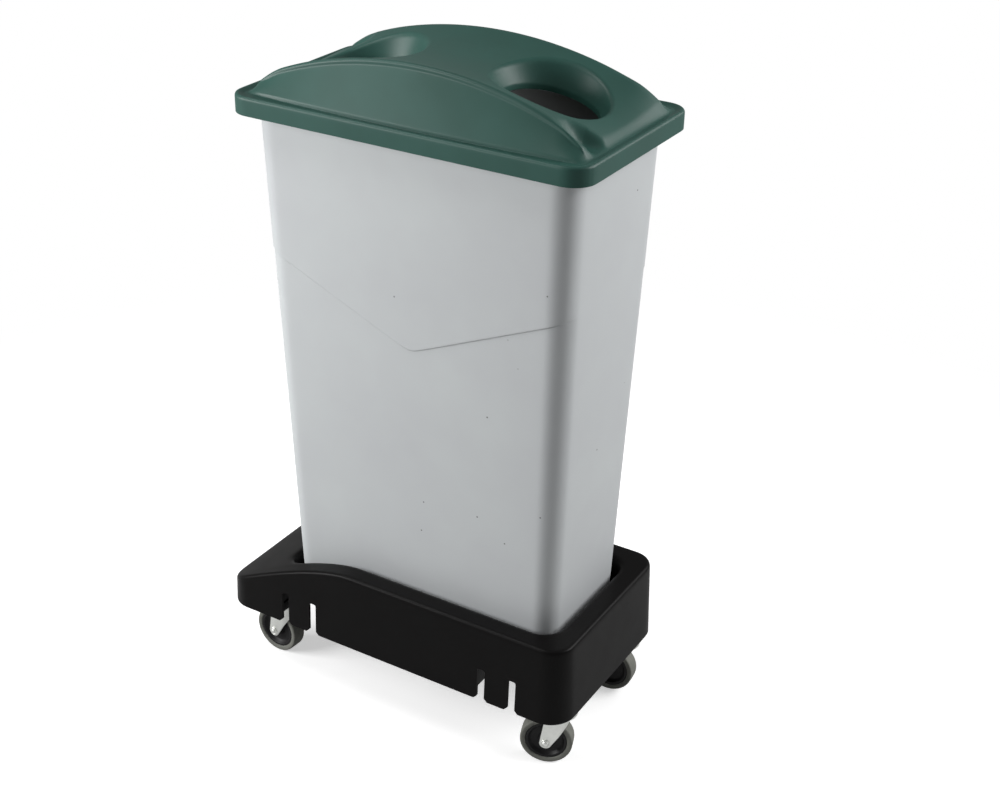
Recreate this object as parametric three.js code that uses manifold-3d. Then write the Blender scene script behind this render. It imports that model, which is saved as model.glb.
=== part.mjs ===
import * as THREE from 'three';
import { mergeVertices } from 'three/addons/utils/BufferGeometryUtils.js';
import Module from 'manifold-3d';

// A tall, slim recycling bin: a tapered container with a two-hole lid, standing in
// a trolley on four swivel casters.
// Sizes are in millimetres. X runs along the bin, Y across it and Z up from the
// floor. The origin is on the floor under the middle of the trolley, whose low,
// sloping end is at -X. Front is +X, left is +Y.

const wasm = await Module();
wasm.setup();

// Play left where one piece rests on, or runs in, another.
const play = 0.3;
// How far each cut runs past the faces that it opens.
const overrun = 6;
// How deep a joined rib or pad reaches into the wall that carries it.
const rooted = 1.5;

const container = {
  height: 762,
  baseLength: 427,
  baseWidth: 195,
  baseRadius: 28,
  rimLength: 508,
  rimWidth: 279,
  rimRadius: 27,
  flange: 17.8,
  wallRadius: 33,
  wall: 3,
  floor: 4,
  lipDrop: 16,
  lipThickness: 2.6,
  rimRounding: 1.5,
  footHeight: 4,
  footWidth: 7,
  footRadius: 6,
  stepProud: 1.3,
  stepBand: 4,
  stepHeight: 462,
  stepRise: 97,
  stepRounding: 12,
  // How far a wall faces sideways where the step starts, and where it is whole.
  stepFacingShares: [0.3, 0.95],
};

const lid = {
  wall: 3,
  clearance: 1.6,
  skirtDrop: 19,
  bead: 2.5,
  beadWidth: 8,
  beadSlope: 4,
  edgeRadius: 3.2,
  vaultLength: 488,
  vaultHeight: 72,
  vaultEndHeight: 17,
  endRounding: 45,
  ridgeWidth: 194,
  ridgeSpread: 4.5,
  footWidth: 260,
  footBow: 8,
  ridgeRadius: 4,
  dish: 15,
  dishFade: 38,
  panelInset: 1.4,
  panelBorder: 9,
  panelStep: 2,
  panelFoot: 5,
};

const chute = {
  spacing: 267,
  diameter: 124,
  height: 16.3,
  fall: 30,
  collar: 7,
  flare: 9,
  rounding: 6,
};

const scoop = {
  radius: 19,
  floorHeight: 1,
  rounding: 7,
  endInset: 12,
  ridgeInset: 26,
};

const dolly = {
  pocketClearance: 1,
  mouthClearance: 9,
  mouthRadius: 32,
  sideRim: 38.5,
  endRim: 38.5,
  rampLength: 87.5,
  outerRadius: 38,
  skirtLean: 4.5,
  skirtHang: 8.3,
  wall: 4,
  deck: 4,
  pad: 14,
  rimHeight: 92,
  rampFoot: 9.5,
  crestDistance: 225,
  crestShare: 0.733,
  edgeRadius: 6,
  lipRadius: 7,
  ribThickness: 3,
  padMargin: 4,
  deckRibHeight: 8,
};

const slot = {
  width: 12,
  height: 51,
  spacing: 49,
  topRadius: 4,
  chamfer: 5,
  rearInset: 136,
  frontInset: 103.5,
};

const caster = {
  track: 190,
  frontInset: 28,
  rearInset: 75.6,
  trail: 18,
  wheelDiameter: 75,
  treadWidth: 23,
  treadDepth: 8,
  treadCorner: 4,
  crownGap: 9,
  crownThickness: 3,
  raceHeight: 15,
  plateThickness: 3,
  plateLength: 40,
  plateWidth: 56,
  plateCorner: 10,
  boltInset: 8,
};

const boltSize = {
  shank: 5,
  headWidth: 9,
  headHeight: 3.5,
  grip: 7,
};

const fork = {
  thickness: 2.6,
  sideGap: 2.6,
  wheelGap: 2.5,
  crownRadius: 24,
  cupHeight: 9,
  cupWall: 3,
  legBack: 19,
  legEnd: 9.5,
  legFrontDrop: 6,
  wrapAngle: 62,
};

const kingpin = {
  diameter: 10,
  headDiameter: 19,
  headHeight: 4,
  headChamfer: 2,
};

const axle = {
  diameter: 8,
  headDiameter: 13,
  headHeight: 3.4,
  headRounding: 2,
  nutWidth: 13,
  nutHeight: 6.5,
  tail: 1.5,
  bushWall: 2,
};

const hub = {
  flangeWidth: 20,
  flangeDepth: 4,
  flangeSlope: 2,
  webWidth: 8,
  bossDiameter: 21,
};

const raceRing = {
  diameter: 35,
  thickness: 4.4,
  coneFlare: 3,
};

// The swivel angle, in degrees, at which each caster stands.
const swivel = {
  frontRight: 20,
  frontLeft: 6,
  rearRight: -4,
  rearLeft: 10,
};

// How finely the round and long stretches are divided.
const steps = {
  corner: 4,
  longSide: 6,
  dollySide: 12,
  shortSide: 2,
  wheel: 16,
  race: 12,
  raceSection: 4,
  crown: 12,
  pin: 8,
  bore: 12,
  bolt: 6,
  arc: 2,
  wrap: 2,
  legEnd: 3,
  vault: 14,
  vaultTop: 6,
  hole: 22,
  scoop: 10,
};

// Where the middle of a quarter round lies, as a share of its radius from each face.
const roundShare = 1 - Math.SQRT1_2;

// Heights that follow from the sizes above.
const casterHeight = caster.wheelDiameter + caster.crownGap + caster.crownThickness
  + caster.raceHeight + caster.plateThickness;
const skirtBottom = casterHeight - dolly.skirtHang;
const deckTop = casterHeight + dolly.pad + dolly.deck;
const rimTop = deckTop + dolly.rimHeight;
const containerBase = deckTop + play;
const containerTop = containerBase + container.height;
const lidUnderside = containerTop + play;
const lidPlateau = lidUnderside + lid.wall;
const lidBottom = lidUnderside - lid.skirtDrop;

// Plan sizes that follow from the sizes above.
const wallTopLength = container.rimLength - 2 * container.flange;
const wallTopWidth = container.rimWidth - 2 * container.flange;
const rimShare = dolly.rimHeight / container.height;
const mouthLength = THREE.MathUtils.lerp(container.baseLength, wallTopLength, rimShare)
  + 2 * dolly.mouthClearance;
const mouthWidth = THREE.MathUtils.lerp(container.baseWidth, wallTopWidth, rimShare)
  + 2 * dolly.mouthClearance;
const dollyLength = mouthLength + dolly.endRim + dolly.rampLength;
const dollyWidth = mouthWidth + 2 * dolly.sideRim;
const binX = (dolly.rampLength - dolly.endRim) / 2;

const colours = {
  container: 0xc3c6c7,
  lid: 0x3d5f57,
  dolly: 0x1f1d1e,
  zinc: 0xc4c8c4,
  tread: 0x6c6d67,
  hub: 0x19181a,
  bush: 0xd8d6cc,
};

const finishes = {
  container: new THREE.MeshStandardMaterial({ color: colours.container, roughness: 0.6 }),
  lid: new THREE.MeshStandardMaterial({ color: colours.lid, roughness: 0.55 }),
  dolly: new THREE.MeshStandardMaterial({ color: colours.dolly, roughness: 0.6 }),
  zinc: new THREE.MeshStandardMaterial({ color: colours.zinc, roughness: 0.35, metalness: 1 }),
  tread: new THREE.MeshStandardMaterial({ color: colours.tread, roughness: 0.8 }),
  hub: new THREE.MeshStandardMaterial({ color: colours.hub, roughness: 0.5 }),
  bush: new THREE.MeshStandardMaterial({ color: colours.bush, roughness: 0.5 }),
};

const root = new THREE.Group();

// Adds one named piece, with a material of its own, to a group.
function addPiece(group, name, geometry, finish) {
  const mesh = new THREE.Mesh(geometry, finish.clone());
  mesh.name = name;
  group.add(mesh);
  return mesh;
}

// Merges shared corners and drops the faces that collapse on an axis.
function weld(geometry) {
  const bare = geometry.clone();
  bare.deleteAttribute('normal');
  bare.deleteAttribute('uv');
  const merged = mergeVertices(bare, 1e-4);
  const kept = [];
  const index = merged.index.array;
  for (let i = 0; i < index.length; i += 3) {
    const [a, b, c] = [index[i], index[i + 1], index[i + 2]];
    if (a !== b && b !== c && c !== a) kept.push(a, b, c);
  }
  merged.setIndex(kept);
  return merged;
}

// Turns a closed geometry into a solid that can be joined and cut.
function solidOf(geometry) {
  const welded = weld(geometry);
  return new wasm.Manifold(new wasm.Mesh({
    numProp: 3,
    vertProperties: new Float32Array(welded.attributes.position.array),
    triVerts: new Uint32Array(welded.index.array),
  }));
}

// Turns a solid back into a geometry.
function geometryOf(solid) {
  const mesh = solid.getMesh();
  const geometry = new THREE.BufferGeometry();
  geometry.setAttribute('position', new THREE.BufferAttribute(new Float32Array(mesh.vertProperties), 3));
  geometry.setIndex(Array.from(mesh.triVerts));
  geometry.computeVertexNormals();
  return geometry;
}

// Joins a row of closed rings of equal length into a body, closed by a fan at each end.
function loft(rings) {
  const count = rings[0].length;
  const places = rings.flat().flatMap((point) => [point.x, point.y, point.z]);
  const index = [];
  for (let r = 0; r + 1 < rings.length; r += 1) {
    for (let i = 0; i < count; i += 1) {
      const next = (i + 1) % count;
      const a = r * count + i;
      const b = r * count + next;
      const c = (r + 1) * count + next;
      const d = (r + 1) * count + i;
      index.push(a, b, c, a, c, d);
    }
  }
  for (const end of [0, rings.length - 1]) {
    const middle = new THREE.Vector3();
    rings[end].forEach((point) => middle.addScaledVector(point, 1 / count));
    const centre = places.length / 3;
    places.push(middle.x, middle.y, middle.z);
    for (let i = 0; i < count; i += 1) {
      const a = end * count + i;
      const b = end * count + (i + 1) % count;
      index.push(centre, end === 0 ? b : a, end === 0 ? a : b);
    }
  }
  const geometry = new THREE.BufferGeometry();
  geometry.setAttribute('position', new THREE.Float32BufferAttribute(places, 3));
  geometry.setIndex(index);
  geometry.computeVertexNormals();
  return geometry;
}

// A revolved body about Z, from a closed row of [radius, height] points that runs
// outwards along the bottom, up, and back in along the top.
function revolve(profile, divisions) {
  const points = [...profile, profile[0]].map(([radius, height]) => new THREE.Vector2(radius, height));
  const geometry = new THREE.LatheGeometry(points, divisions);
  geometry.rotateX(Math.PI / 2);
  return weld(geometry);
}

// A round bar along Z between two heights.
function bar(radius, low, high, divisions) {
  const geometry = new THREE.CylinderGeometry(radius, radius, high - low, divisions);
  geometry.rotateX(Math.PI / 2);
  geometry.translate(0, 0, (low + high) / 2);
  return geometry;
}

// A flat outline in X and Z, made as thick as asked along Y about Y = 0.
function plateXZ(shape, thickness, curveSegments) {
  const geometry = new THREE.ExtrudeGeometry(shape, { depth: thickness, bevelEnabled: false, curveSegments });
  geometry.translate(0, 0, -thickness / 2);
  geometry.rotateX(Math.PI / 2);
  return geometry;
}

// The points of a rounded rectangle, counter-clockwise from above, each with the
// direction that it faces. All outlines with the same cuts match point for point.
function outline(length, width, radius, longCuts) {
  const points = [];
  const halfL = length / 2 - radius;
  const halfW = width / 2 - radius;
  const sides = [
    { from: [halfL, -halfW], to: [halfL, halfW], facing: 0, cuts: steps.shortSide },
    { from: [halfL, halfW], to: [-halfL, halfW], facing: 1, cuts: longCuts },
    { from: [-halfL, halfW], to: [-halfL, -halfW], facing: 2, cuts: steps.shortSide },
    { from: [-halfL, -halfW], to: [halfL, -halfW], facing: 3, cuts: longCuts },
  ];
  for (const { from, to, facing, cuts } of sides) {
    const turn = facing * Math.PI / 2;
    for (let i = 0; i <= cuts; i += 1) {
      const nx = Math.cos(turn);
      const ny = Math.sin(turn);
      const x = THREE.MathUtils.lerp(from[0], to[0], i / cuts) + nx * radius;
      const y = THREE.MathUtils.lerp(from[1], to[1], i / cuts) + ny * radius;
      points.push({ x, y, nx, ny });
    }
    for (let i = 1; i < steps.corner; i += 1) {
      const angle = turn + (i / steps.corner) * Math.PI / 2;
      const nx = Math.cos(angle);
      const ny = Math.sin(angle);
      points.push({ x: to[0] + nx * radius, y: to[1] + ny * radius, nx, ny });
    }
  }
  return points;
}

// A ring at one height from an outline, moved along X.
function level(points, height, shift) {
  return points.map((p) => new THREE.Vector3(p.x + shift, p.y, height));
}

// The container's wall: a taper from base to rim, with the upper part of the long
// sides proud of the lower part along a shallow V.
function buildContainer() {
  const c = container;
  const cuts = steps.longSide;
  const baseLine = outline(c.baseLength, c.baseWidth, c.baseRadius, cuts);
  const topLine = outline(wallTopLength, wallTopWidth, c.wallRadius, cuts);
  const slope = c.stepRise / (c.baseLength / 2);
  const stepAt = (x) => c.stepHeight
    + slope * (Math.hypot(x, c.stepRounding) - c.stepRounding);
  const wallRing = (heightAt, offset, proud) => baseLine.map((low, i) => {
    const high = topLine[i];
    const height = heightAt(low.x);
    const share = height / c.height;
    const raised = proud * c.stepProud * THREE.MathUtils.smoothstep(Math.abs(low.ny), ...c.stepFacingShares);
    const out = offset + raised;
    return new THREE.Vector3(
      THREE.MathUtils.lerp(low.x, high.x, share) + low.nx * out + binX,
      THREE.MathUtils.lerp(low.y, high.y, share) + low.ny * out,
      containerBase + height,
    );
  });
  const rimRing = (inset, height) => level(
    outline(c.rimLength - 2 * inset, c.rimWidth - 2 * inset, Math.max(c.rimRadius - inset, c.wall), cuts),
    containerTop - height,
    binX,
  );
  const flat = (height) => () => height;
  const below = (x) => stepAt(x) - c.stepBand / 2;
  const above = (x) => stepAt(x) + c.stepBand / 2;
  const footIn = c.footRadius + c.footWidth;
  const rings = [
    wallRing(flat(c.footHeight), -footIn - c.footHeight, 0),
    wallRing(flat(0), -footIn, 0),
    wallRing(flat(0), -c.footRadius, 0),
    wallRing(flat(c.footRadius * roundShare), -c.footRadius * roundShare, 0),
    wallRing(flat(c.footRadius), 0, 0),
    wallRing(below, 0, 0),
    wallRing(above, 0, 1),
    wallRing(flat(c.height - c.lipThickness), 0, 1),
    rimRing(c.lipThickness, c.lipThickness),
    rimRing(c.lipThickness, c.lipDrop),
    rimRing(0, c.lipDrop),
    rimRing(0, c.rimRounding),
    rimRing(c.rimRounding, 0),
    wallRing(flat(c.height), c.rimRounding - c.wall, 1),
    wallRing(flat(c.height - c.rimRounding), -c.wall, 1),
    wallRing(above, -c.wall, 1),
    wallRing(below, -c.wall, 0),
    wallRing(flat(c.footHeight + c.floor + c.footRadius), -c.wall, 0),
    wallRing(flat(c.footHeight + c.floor), -c.wall - c.footRadius, 0),
  ];
  addPiece(root, 'container_body', loft(rings), finishes.container);
}

// The height of the vault's ridge above the lid's flat at one place along it: a long
// arc whose last stretch falls away in a quarter of an ellipse.
function ridgeHeight(x) {
  const half = lid.vaultLength / 2;
  const sagitta = lid.vaultHeight - lid.vaultEndHeight;
  const radius = (half * half + sagitta * sagitta) / (2 * sagitta);
  const arc = lid.vaultHeight - radius + Math.sqrt(radius * radius - x * x);
  const past = Math.max(0, Math.abs(x) - (half - lid.endRounding)) / lid.endRounding;
  return arc * Math.sqrt(Math.max(0, 1 - past * past));
}

// How far along the vault a place is, as a share of the way from the middle to the end.
function vaultShare(x) {
  return Math.abs(x) / (lid.vaultLength / 2);
}

// The ridge's distance from the lid's middle line. The ridges spread towards the ends.
function ridgeSide(x) {
  return lid.ridgeWidth / 2 + lid.ridgeSpread * vaultShare(x) ** 2;
}

// The height of the dished top between the ridges, above the lid's flat. The dish
// runs out where the vault comes down to the flat.
function vaultHeightAt(x, y) {
  const ridge = ridgeHeight(x);
  const dish = lid.dish * Math.min(1, ridge / lid.dishFade);
  return ridge - dish * Math.max(0, 1 - (y / ridgeSide(x)) ** 2);
}

// One half of the vault's cross-section, as [y, height] from the middle of the top
// over the ridge and down the leaning side panel to its foot. The panel's face is set
// back inside its border, and both fade out where the panel gets low.
function vaultSection(x) {
  const ridge = ridgeHeight(x);
  const ridgeY = ridgeSide(x);
  const footY = lid.footWidth / 2 - lid.footBow * vaultShare(x) ** 2;
  const round = Math.min(lid.ridgeRadius, ridge / 2);
  const topCuts = steps.vaultTop / 2;
  const points = [];
  for (let i = 0; i <= topCuts; i += 1) {
    const y = (ridgeY - round) * i / topCuts;
    points.push([y, vaultHeightAt(x, y)]);
  }
  const start = new THREE.Vector2(ridgeY, ridge);
  const down = new THREE.Vector2(footY - ridgeY, -ridge);
  const faceLength = down.length();
  down.normalize();
  const outward = new THREE.Vector2(-down.y, down.x);
  const border = Math.min(lid.panelBorder, faceLength / 4);
  const foot = Math.min(lid.panelFoot, faceLength / 4);
  const depth = Math.min(lid.panelInset, faceLength / (lid.panelBorder * 4));
  const placeDown = (distance, inward) => {
    const place = start.clone().addScaledVector(down, distance).addScaledVector(outward, -inward);
    points.push([place.x, place.y]);
  };
  placeDown(round / 4, round / 4);
  placeDown(Math.min(round, border / 2), 0);
  placeDown(border, 0);
  placeDown(Math.min(border + lid.panelStep, faceLength / 2), depth);
  placeDown(faceLength - foot, depth);
  placeDown(faceLength, 0);
  return points;
}

// The vault as a solid, with its whole section drawn in by the inset.
function vaultSolid(inset, floorHeight) {
  const half = lid.vaultLength / 2;
  const drawnShare = (half - inset) / half;
  const rings = [];
  for (let i = 0; i <= steps.vault; i += 1) {
    const x = -half * Math.cos(Math.PI * i / steps.vault);
    const side = vaultSection(x);
    const drawn = side.map(([y, height], k) => {
      const before = side[Math.max(0, k - 1)];
      const after = side[Math.min(side.length - 1, k + 1)];
      const along = new THREE.Vector2(after[0] - before[0], after[1] - before[1]).normalize();
      return [Math.max(0, y + along.y * inset), height - along.x * inset];
    });
    const foot = drawn[drawn.length - 1];
    const right = [...drawn, [foot[0], floorHeight]];
    const left = right.slice(1).reverse().map(([y, height]) => [-y, height]);
    rings.push([...left, ...right].map(([y, height]) => new THREE.Vector3(
      x * drawnShare + binX,
      -y,
      lidPlateau + Math.max(height, floorHeight),
    )));
  }
  return solidOf(loft(rings));
}

// A level ring that follows the lid's outer edge, drawn in by the distance given.
function lidRing(inward, height) {
  const grow = lid.clearance + lid.wall - inward;
  return level(
    outline(
      container.rimLength + 2 * grow,
      container.rimWidth + 2 * grow,
      Math.max(container.rimRadius + grow, lid.wall),
      steps.longSide,
    ),
    height,
    binX,
  );
}

// The lid's flat plate and skirt as a solid, with a bead along its edge.
function lidPlate() {
  const top = lidPlateau + lid.bead;
  const soft = lid.edgeRadius * roundShare;
  return solidOf(loft([
    lidRing(0, lidBottom),
    lidRing(0, top - lid.edgeRadius),
    lidRing(soft, top - soft),
    lidRing(lid.edgeRadius, top),
    lidRing(lid.beadWidth, top),
    lidRing(lid.beadWidth + lid.beadSlope, lidPlateau),
  ]));
}

// The room inside the lid's skirt, which the container's rim fills.
function lidRoom() {
  return solidOf(loft([lidRing(lid.wall, lidBottom - overrun), lidRing(lid.wall, lidUnderside)]));
}

// A chute's inside, grown by its wall where asked. A short round collar leans with the
// vault, and above it the side flares up to a soft edge in the dished top.
function chuteSolid(side, grow) {
  const centreX = side * chute.spacing / 2;
  const narrow = chute.diameter / 2 + grow;
  const wide = narrow + chute.flare;
  const soft = chute.rounding;
  const fall = (x) => side * (x - centreX) * chute.fall / chute.diameter;
  const opening = (x) => lidPlateau + chute.height - fall(x);
  const lowest = (x) => (grow > 0 ? opening(x) - chute.collar : lidBottom);
  const surface = (x, y) => lidPlateau + vaultHeightAt(x, y);
  const ring = (radius, heightAt) => Array.from({ length: steps.hole }, (_, i) => {
    const angle = 2 * Math.PI * i / steps.hole;
    const x = centreX + radius * Math.cos(angle);
    const y = radius * Math.sin(angle);
    return new THREE.Vector3(x + binX, y, heightAt(x, y));
  });
  return solidOf(loft([
    ring(narrow, lowest),
    ring(narrow, opening),
    ring(wide, (x, y) => surface(x, y) - soft),
    ring(wide + soft * roundShare, (x, y) => surface(x, y) - soft * roundShare),
    ring(wide + soft, (x, y) => surface(x, y) + play),
    ring(wide + soft, () => lidPlateau + lid.vaultHeight + overrun),
  ]));
}

// A finger scoop's inside, grown by its wall where asked: a round pocket with a soft
// floor edge, cut into the foot of the vault's end.
function scoopSolid(side, grow) {
  const radius = scoop.radius + grow;
  const low = scoop.floorHeight - grow;
  const soft = scoop.rounding;
  const high = lid.vaultHeight;
  const geometry = revolve([
    [0, low],
    [radius - soft, low],
    [radius - soft * roundShare, low + soft * roundShare],
    [radius, low + soft],
    [radius, high],
    [0, high],
  ], steps.scoop);
  const x = side * (lid.vaultLength / 2 - scoop.endInset);
  const y = -side * (ridgeSide(x) - scoop.ridgeInset);
  geometry.translate(x + binX, y, lidPlateau);
  return solidOf(geometry);
}

// The lid: a skirted plate carrying a vault with a ridge down each side, two flared
// chutes and a finger scoop at two opposite corners.
function buildLid() {
  const outer = lidPlate().add(vaultSolid(0, -lid.wall / 2));
  const hollow = lidRoom().add(vaultSolid(lid.wall, -lid.wall - overrun));
  const underVault = vaultSolid(0, -lid.skirtDrop);
  let body = outer.subtract(hollow);
  for (const side of [-1, 1]) {
    body = body.add(chuteSolid(side, lid.wall).intersect(underVault));
    body = body.add(scoopSolid(side, lid.wall).intersect(outer));
  }
  for (const side of [-1, 1]) {
    body = body.subtract(chuteSolid(side, 0));
    body = body.subtract(scoopSolid(side, 0));
  }
  addPiece(root, 'lid', geometryOf(body), finishes.lid);
}

// The height of the trolley's upper edge: level along the bin, and falling in a soft
// curve to the low rear end.
function dollyTopAt(x) {
  const rear = -dollyLength / 2;
  const low = deckTop + dolly.rampFoot;
  if (x <= rear) return low;
  if (x >= rear + dolly.crestDistance) return rimTop;
  const distance = x - rear;
  const control = dolly.crestDistance * dolly.crestShare;
  const a = dolly.crestDistance - 2 * control;
  const t = (-control + Math.sqrt(control * control + a * distance)) / a;
  return low + (rimTop - low) * (2 * t * (1 - t) + t * t);
}

function dollyOutline(inset) {
  return outline(
    dollyLength - 2 * inset,
    dollyWidth - 2 * inset,
    dolly.outerRadius - inset,
    steps.dollySide,
  );
}

// A ring of the skirt and of the rounded edge above it, at a drop below the trolley's
// upper edge. The skirt leans inward evenly, by skirtLean over its full height.
function skirtRing(inset, drop) {
  const foot = skirtBottom + dolly.edgeRadius;
  return dollyOutline(inset).map((p) => {
    const lean = dolly.skirtLean * (dollyTopAt(p.x) - foot) / (rimTop - foot);
    const x = p.x - p.nx * lean;
    return new THREE.Vector3(x, p.y - p.ny * lean, dollyTopAt(x) - drop);
  });
}

function mouthOutline(outset) {
  return outline(
    mouthLength + 2 * outset,
    mouthWidth + 2 * outset,
    dolly.mouthRadius + outset,
    steps.dollySide,
  );
}

// A ring of the pocket's mouth, at a drop below the trolley's upper edge.
function mouthRing(outset, drop) {
  return mouthOutline(outset)
    .map((p) => new THREE.Vector3(p.x + binX, p.y, dollyTopAt(p.x + binX) - drop));
}

function pocketOutline(outset) {
  const grow = dolly.pocketClearance + outset;
  return outline(
    container.baseLength + 2 * grow,
    container.baseWidth + 2 * grow,
    container.baseRadius + grow,
    steps.dollySide,
  );
}

// The trolley's shell, in one run of rings from the deck's underside, up and over the
// hollow rim and down into the pocket.
function dollyShell() {
  const d = dolly;
  const edge = d.edgeRadius;
  const softEdge = edge * roundShare;
  const softLip = d.lipRadius * roundShare;
  return solidOf(loft([
    level(pocketOutline(d.wall), deckTop - d.deck, binX),
    mouthRing(d.wall, d.wall + d.lipRadius / 2),
    mouthRing(d.wall + d.lipRadius, d.wall),
    skirtRing(edge + d.wall / 2, d.wall),
    skirtRing(d.wall, d.wall + edge / 2),
    level(dollyOutline(d.wall), skirtBottom, 0),
    level(dollyOutline(0), skirtBottom, 0),
    skirtRing(0, edge),
    skirtRing(softEdge, softEdge),
    skirtRing(edge, 0),
    mouthRing(d.lipRadius, 0),
    mouthRing(softLip, softLip),
    mouthRing(0, d.lipRadius),
    level(pocketOutline(0), deckTop, binX),
  ]));
}

// A box as a solid, from its limits.
function boxSolid(x0, x1, y0, y1, z0, z1) {
  const geometry = new THREE.BoxGeometry(x1 - x0, y1 - y0, z1 - z0);
  geometry.translate((x0 + x1) / 2, (y0 + y1) / 2, (z0 + z1) / 2);
  return solidOf(geometry);
}

// The pocket and the space above it, grown by the outset.
function pocketVoid(outset) {
  return solidOf(loft([
    level(pocketOutline(outset), deckTop - dolly.deck + outset, binX),
    level(mouthOutline(outset), rimTop - dolly.lipRadius, binX),
    level(mouthOutline(outset), rimTop + overrun, binX),
  ]));
}

// The room inside the skirt, up to halfway into it.
function skirtRoom() {
  return solidOf(loft([
    level(dollyOutline(rooted), skirtBottom, 0),
    level(dollyOutline(2 * rooted + dolly.skirtLean), rimTop, 0),
  ]));
}

// The places of the four casters' swivel axes.
function casterPlaces() {
  const front = dollyLength / 2 - caster.frontInset;
  const rear = -dollyLength / 2 + caster.rearInset;
  const side = caster.track / 2;
  return [
    { name: 'front_right', x: front, y: -side, angle: swivel.frontRight },
    { name: 'front_left', x: front, y: side, angle: swivel.frontLeft },
    { name: 'rear_right', x: rear, y: -side, angle: swivel.rearRight },
    { name: 'rear_left', x: rear, y: side, angle: swivel.rearLeft },
  ];
}

// The places of one plate's bolts, about its swivel axis.
function boltPlaces() {
  const x = caster.plateLength / 2 - caster.boltInset;
  const y = caster.plateWidth / 2 - caster.boltInset;
  return [[x, y], [-x, y], [-x, -y], [x, -y]];
}

// The solid under each caster plate, from the pocket's underside to the skirt.
function dollyPads() {
  const pads = casterPlaces().map(({ x, y }) => {
    const reachX = caster.plateLength / 2 + dolly.padMargin;
    const reachY = caster.plateWidth / 2 + dolly.padMargin;
    const outX = x > 0 ? dollyLength / 2 : x + reachX;
    const inX = x - reachX;
    const inY = Math.abs(y) - reachY;
    const outY = dollyWidth / 2;
    return boxSolid(
      inX,
      outX,
      y > 0 ? inY : -outY,
      y > 0 ? outY : -inY,
      casterHeight,
      deckTop - dolly.deck + rooted,
    );
  });
  return wasm.Manifold.union(pads).intersect(skirtRoom());
}

// Upright webs between the pocket and the skirt, on both sides of each pair of link
// slots. They end level with the casters' pads.
function dollyRibs() {
  const pitch = slot.spacing / 2 + slot.width + dolly.ribThickness;
  const places = slotPairs().flatMap((x) => [x - pitch, x + pitch]);
  const webs = places.map((x) => boxSolid(
    x - dolly.ribThickness / 2,
    x + dolly.ribThickness / 2,
    -dollyWidth / 2,
    dollyWidth / 2,
    casterHeight,
    Math.min(dollyTopAt(x - dolly.ribThickness), dollyTopAt(x)) - dolly.wall + play,
  ));
  const under = boxSolid(
    binX - container.baseLength / 2,
    binX + container.baseLength / 2,
    -container.baseWidth / 2,
    container.baseWidth / 2,
    0,
    deckTop - dolly.deck - dolly.deckRibHeight,
  );
  return wasm.Manifold.union(webs)
    .intersect(skirtRoom())
    .subtract(pocketVoid(rooted))
    .subtract(under);
}

// The middles of the two pairs of link slots.
function slotPairs() {
  return [-dollyLength / 2 + slot.rearInset, dollyLength / 2 - slot.frontInset];
}

// One link slot: open at the skirt's lower edge, with chamfered mouth and round top.
function slotCutter(x) {
  const half = slot.width / 2;
  const top = skirtBottom + slot.height;
  const shape = new THREE.Shape();
  shape.moveTo(-half - slot.chamfer, skirtBottom - overrun);
  shape.lineTo(half + slot.chamfer, skirtBottom - overrun);
  shape.lineTo(half + slot.chamfer, skirtBottom);
  shape.lineTo(half, skirtBottom + slot.chamfer);
  shape.lineTo(half, top - slot.topRadius);
  shape.quadraticCurveTo(half, top, half - slot.topRadius, top);
  shape.lineTo(-half + slot.topRadius, top);
  shape.quadraticCurveTo(-half, top, -half, top - slot.topRadius);
  shape.lineTo(-half, skirtBottom + slot.chamfer);
  shape.lineTo(-half - slot.chamfer, skirtBottom);
  const depth = dolly.wall + dolly.skirtLean + overrun;
  const cutters = [-1, 1].map((side) => {
    const geometry = plateXZ(shape, depth, steps.arc);
    geometry.translate(x, side * (dollyWidth / 2 + overrun - depth / 2), 0);
    return solidOf(geometry);
  });
  return wasm.Manifold.union(cutters);
}

// The bores for one caster plate's bolts, through the plate and up into the pad.
function boltHoles(x, y) {
  return wasm.Manifold.union(boltPlaces().map(([dx, dy]) => {
    const hole = bar(
      boltSize.shank / 2 + play,
      casterHeight - caster.plateThickness - overrun,
      casterHeight + boltSize.grip + play,
      steps.bolt,
    );
    hole.translate(x + dx, y + dy, 0);
    return solidOf(hole);
  }));
}

function buildDolly() {
  let body = dollyShell().add(dollyPads()).add(dollyRibs());
  for (const pair of slotPairs()) {
    body = body.subtract(slotCutter(pair - slot.spacing / 2));
    body = body.subtract(slotCutter(pair + slot.spacing / 2));
  }
  for (const { x, y } of casterPlaces()) body = body.subtract(boltHoles(x, y));
  addPiece(root, 'dolly_base', geometryOf(body), finishes.dolly);
}

// Heights of the fork's crown and of the ring of balls in its cup.
const crownBottom = caster.wheelDiameter + caster.crownGap;
const crownTop = crownBottom + caster.crownThickness;
const raceZ = crownTop + raceRing.thickness / 2 + play;

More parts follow.
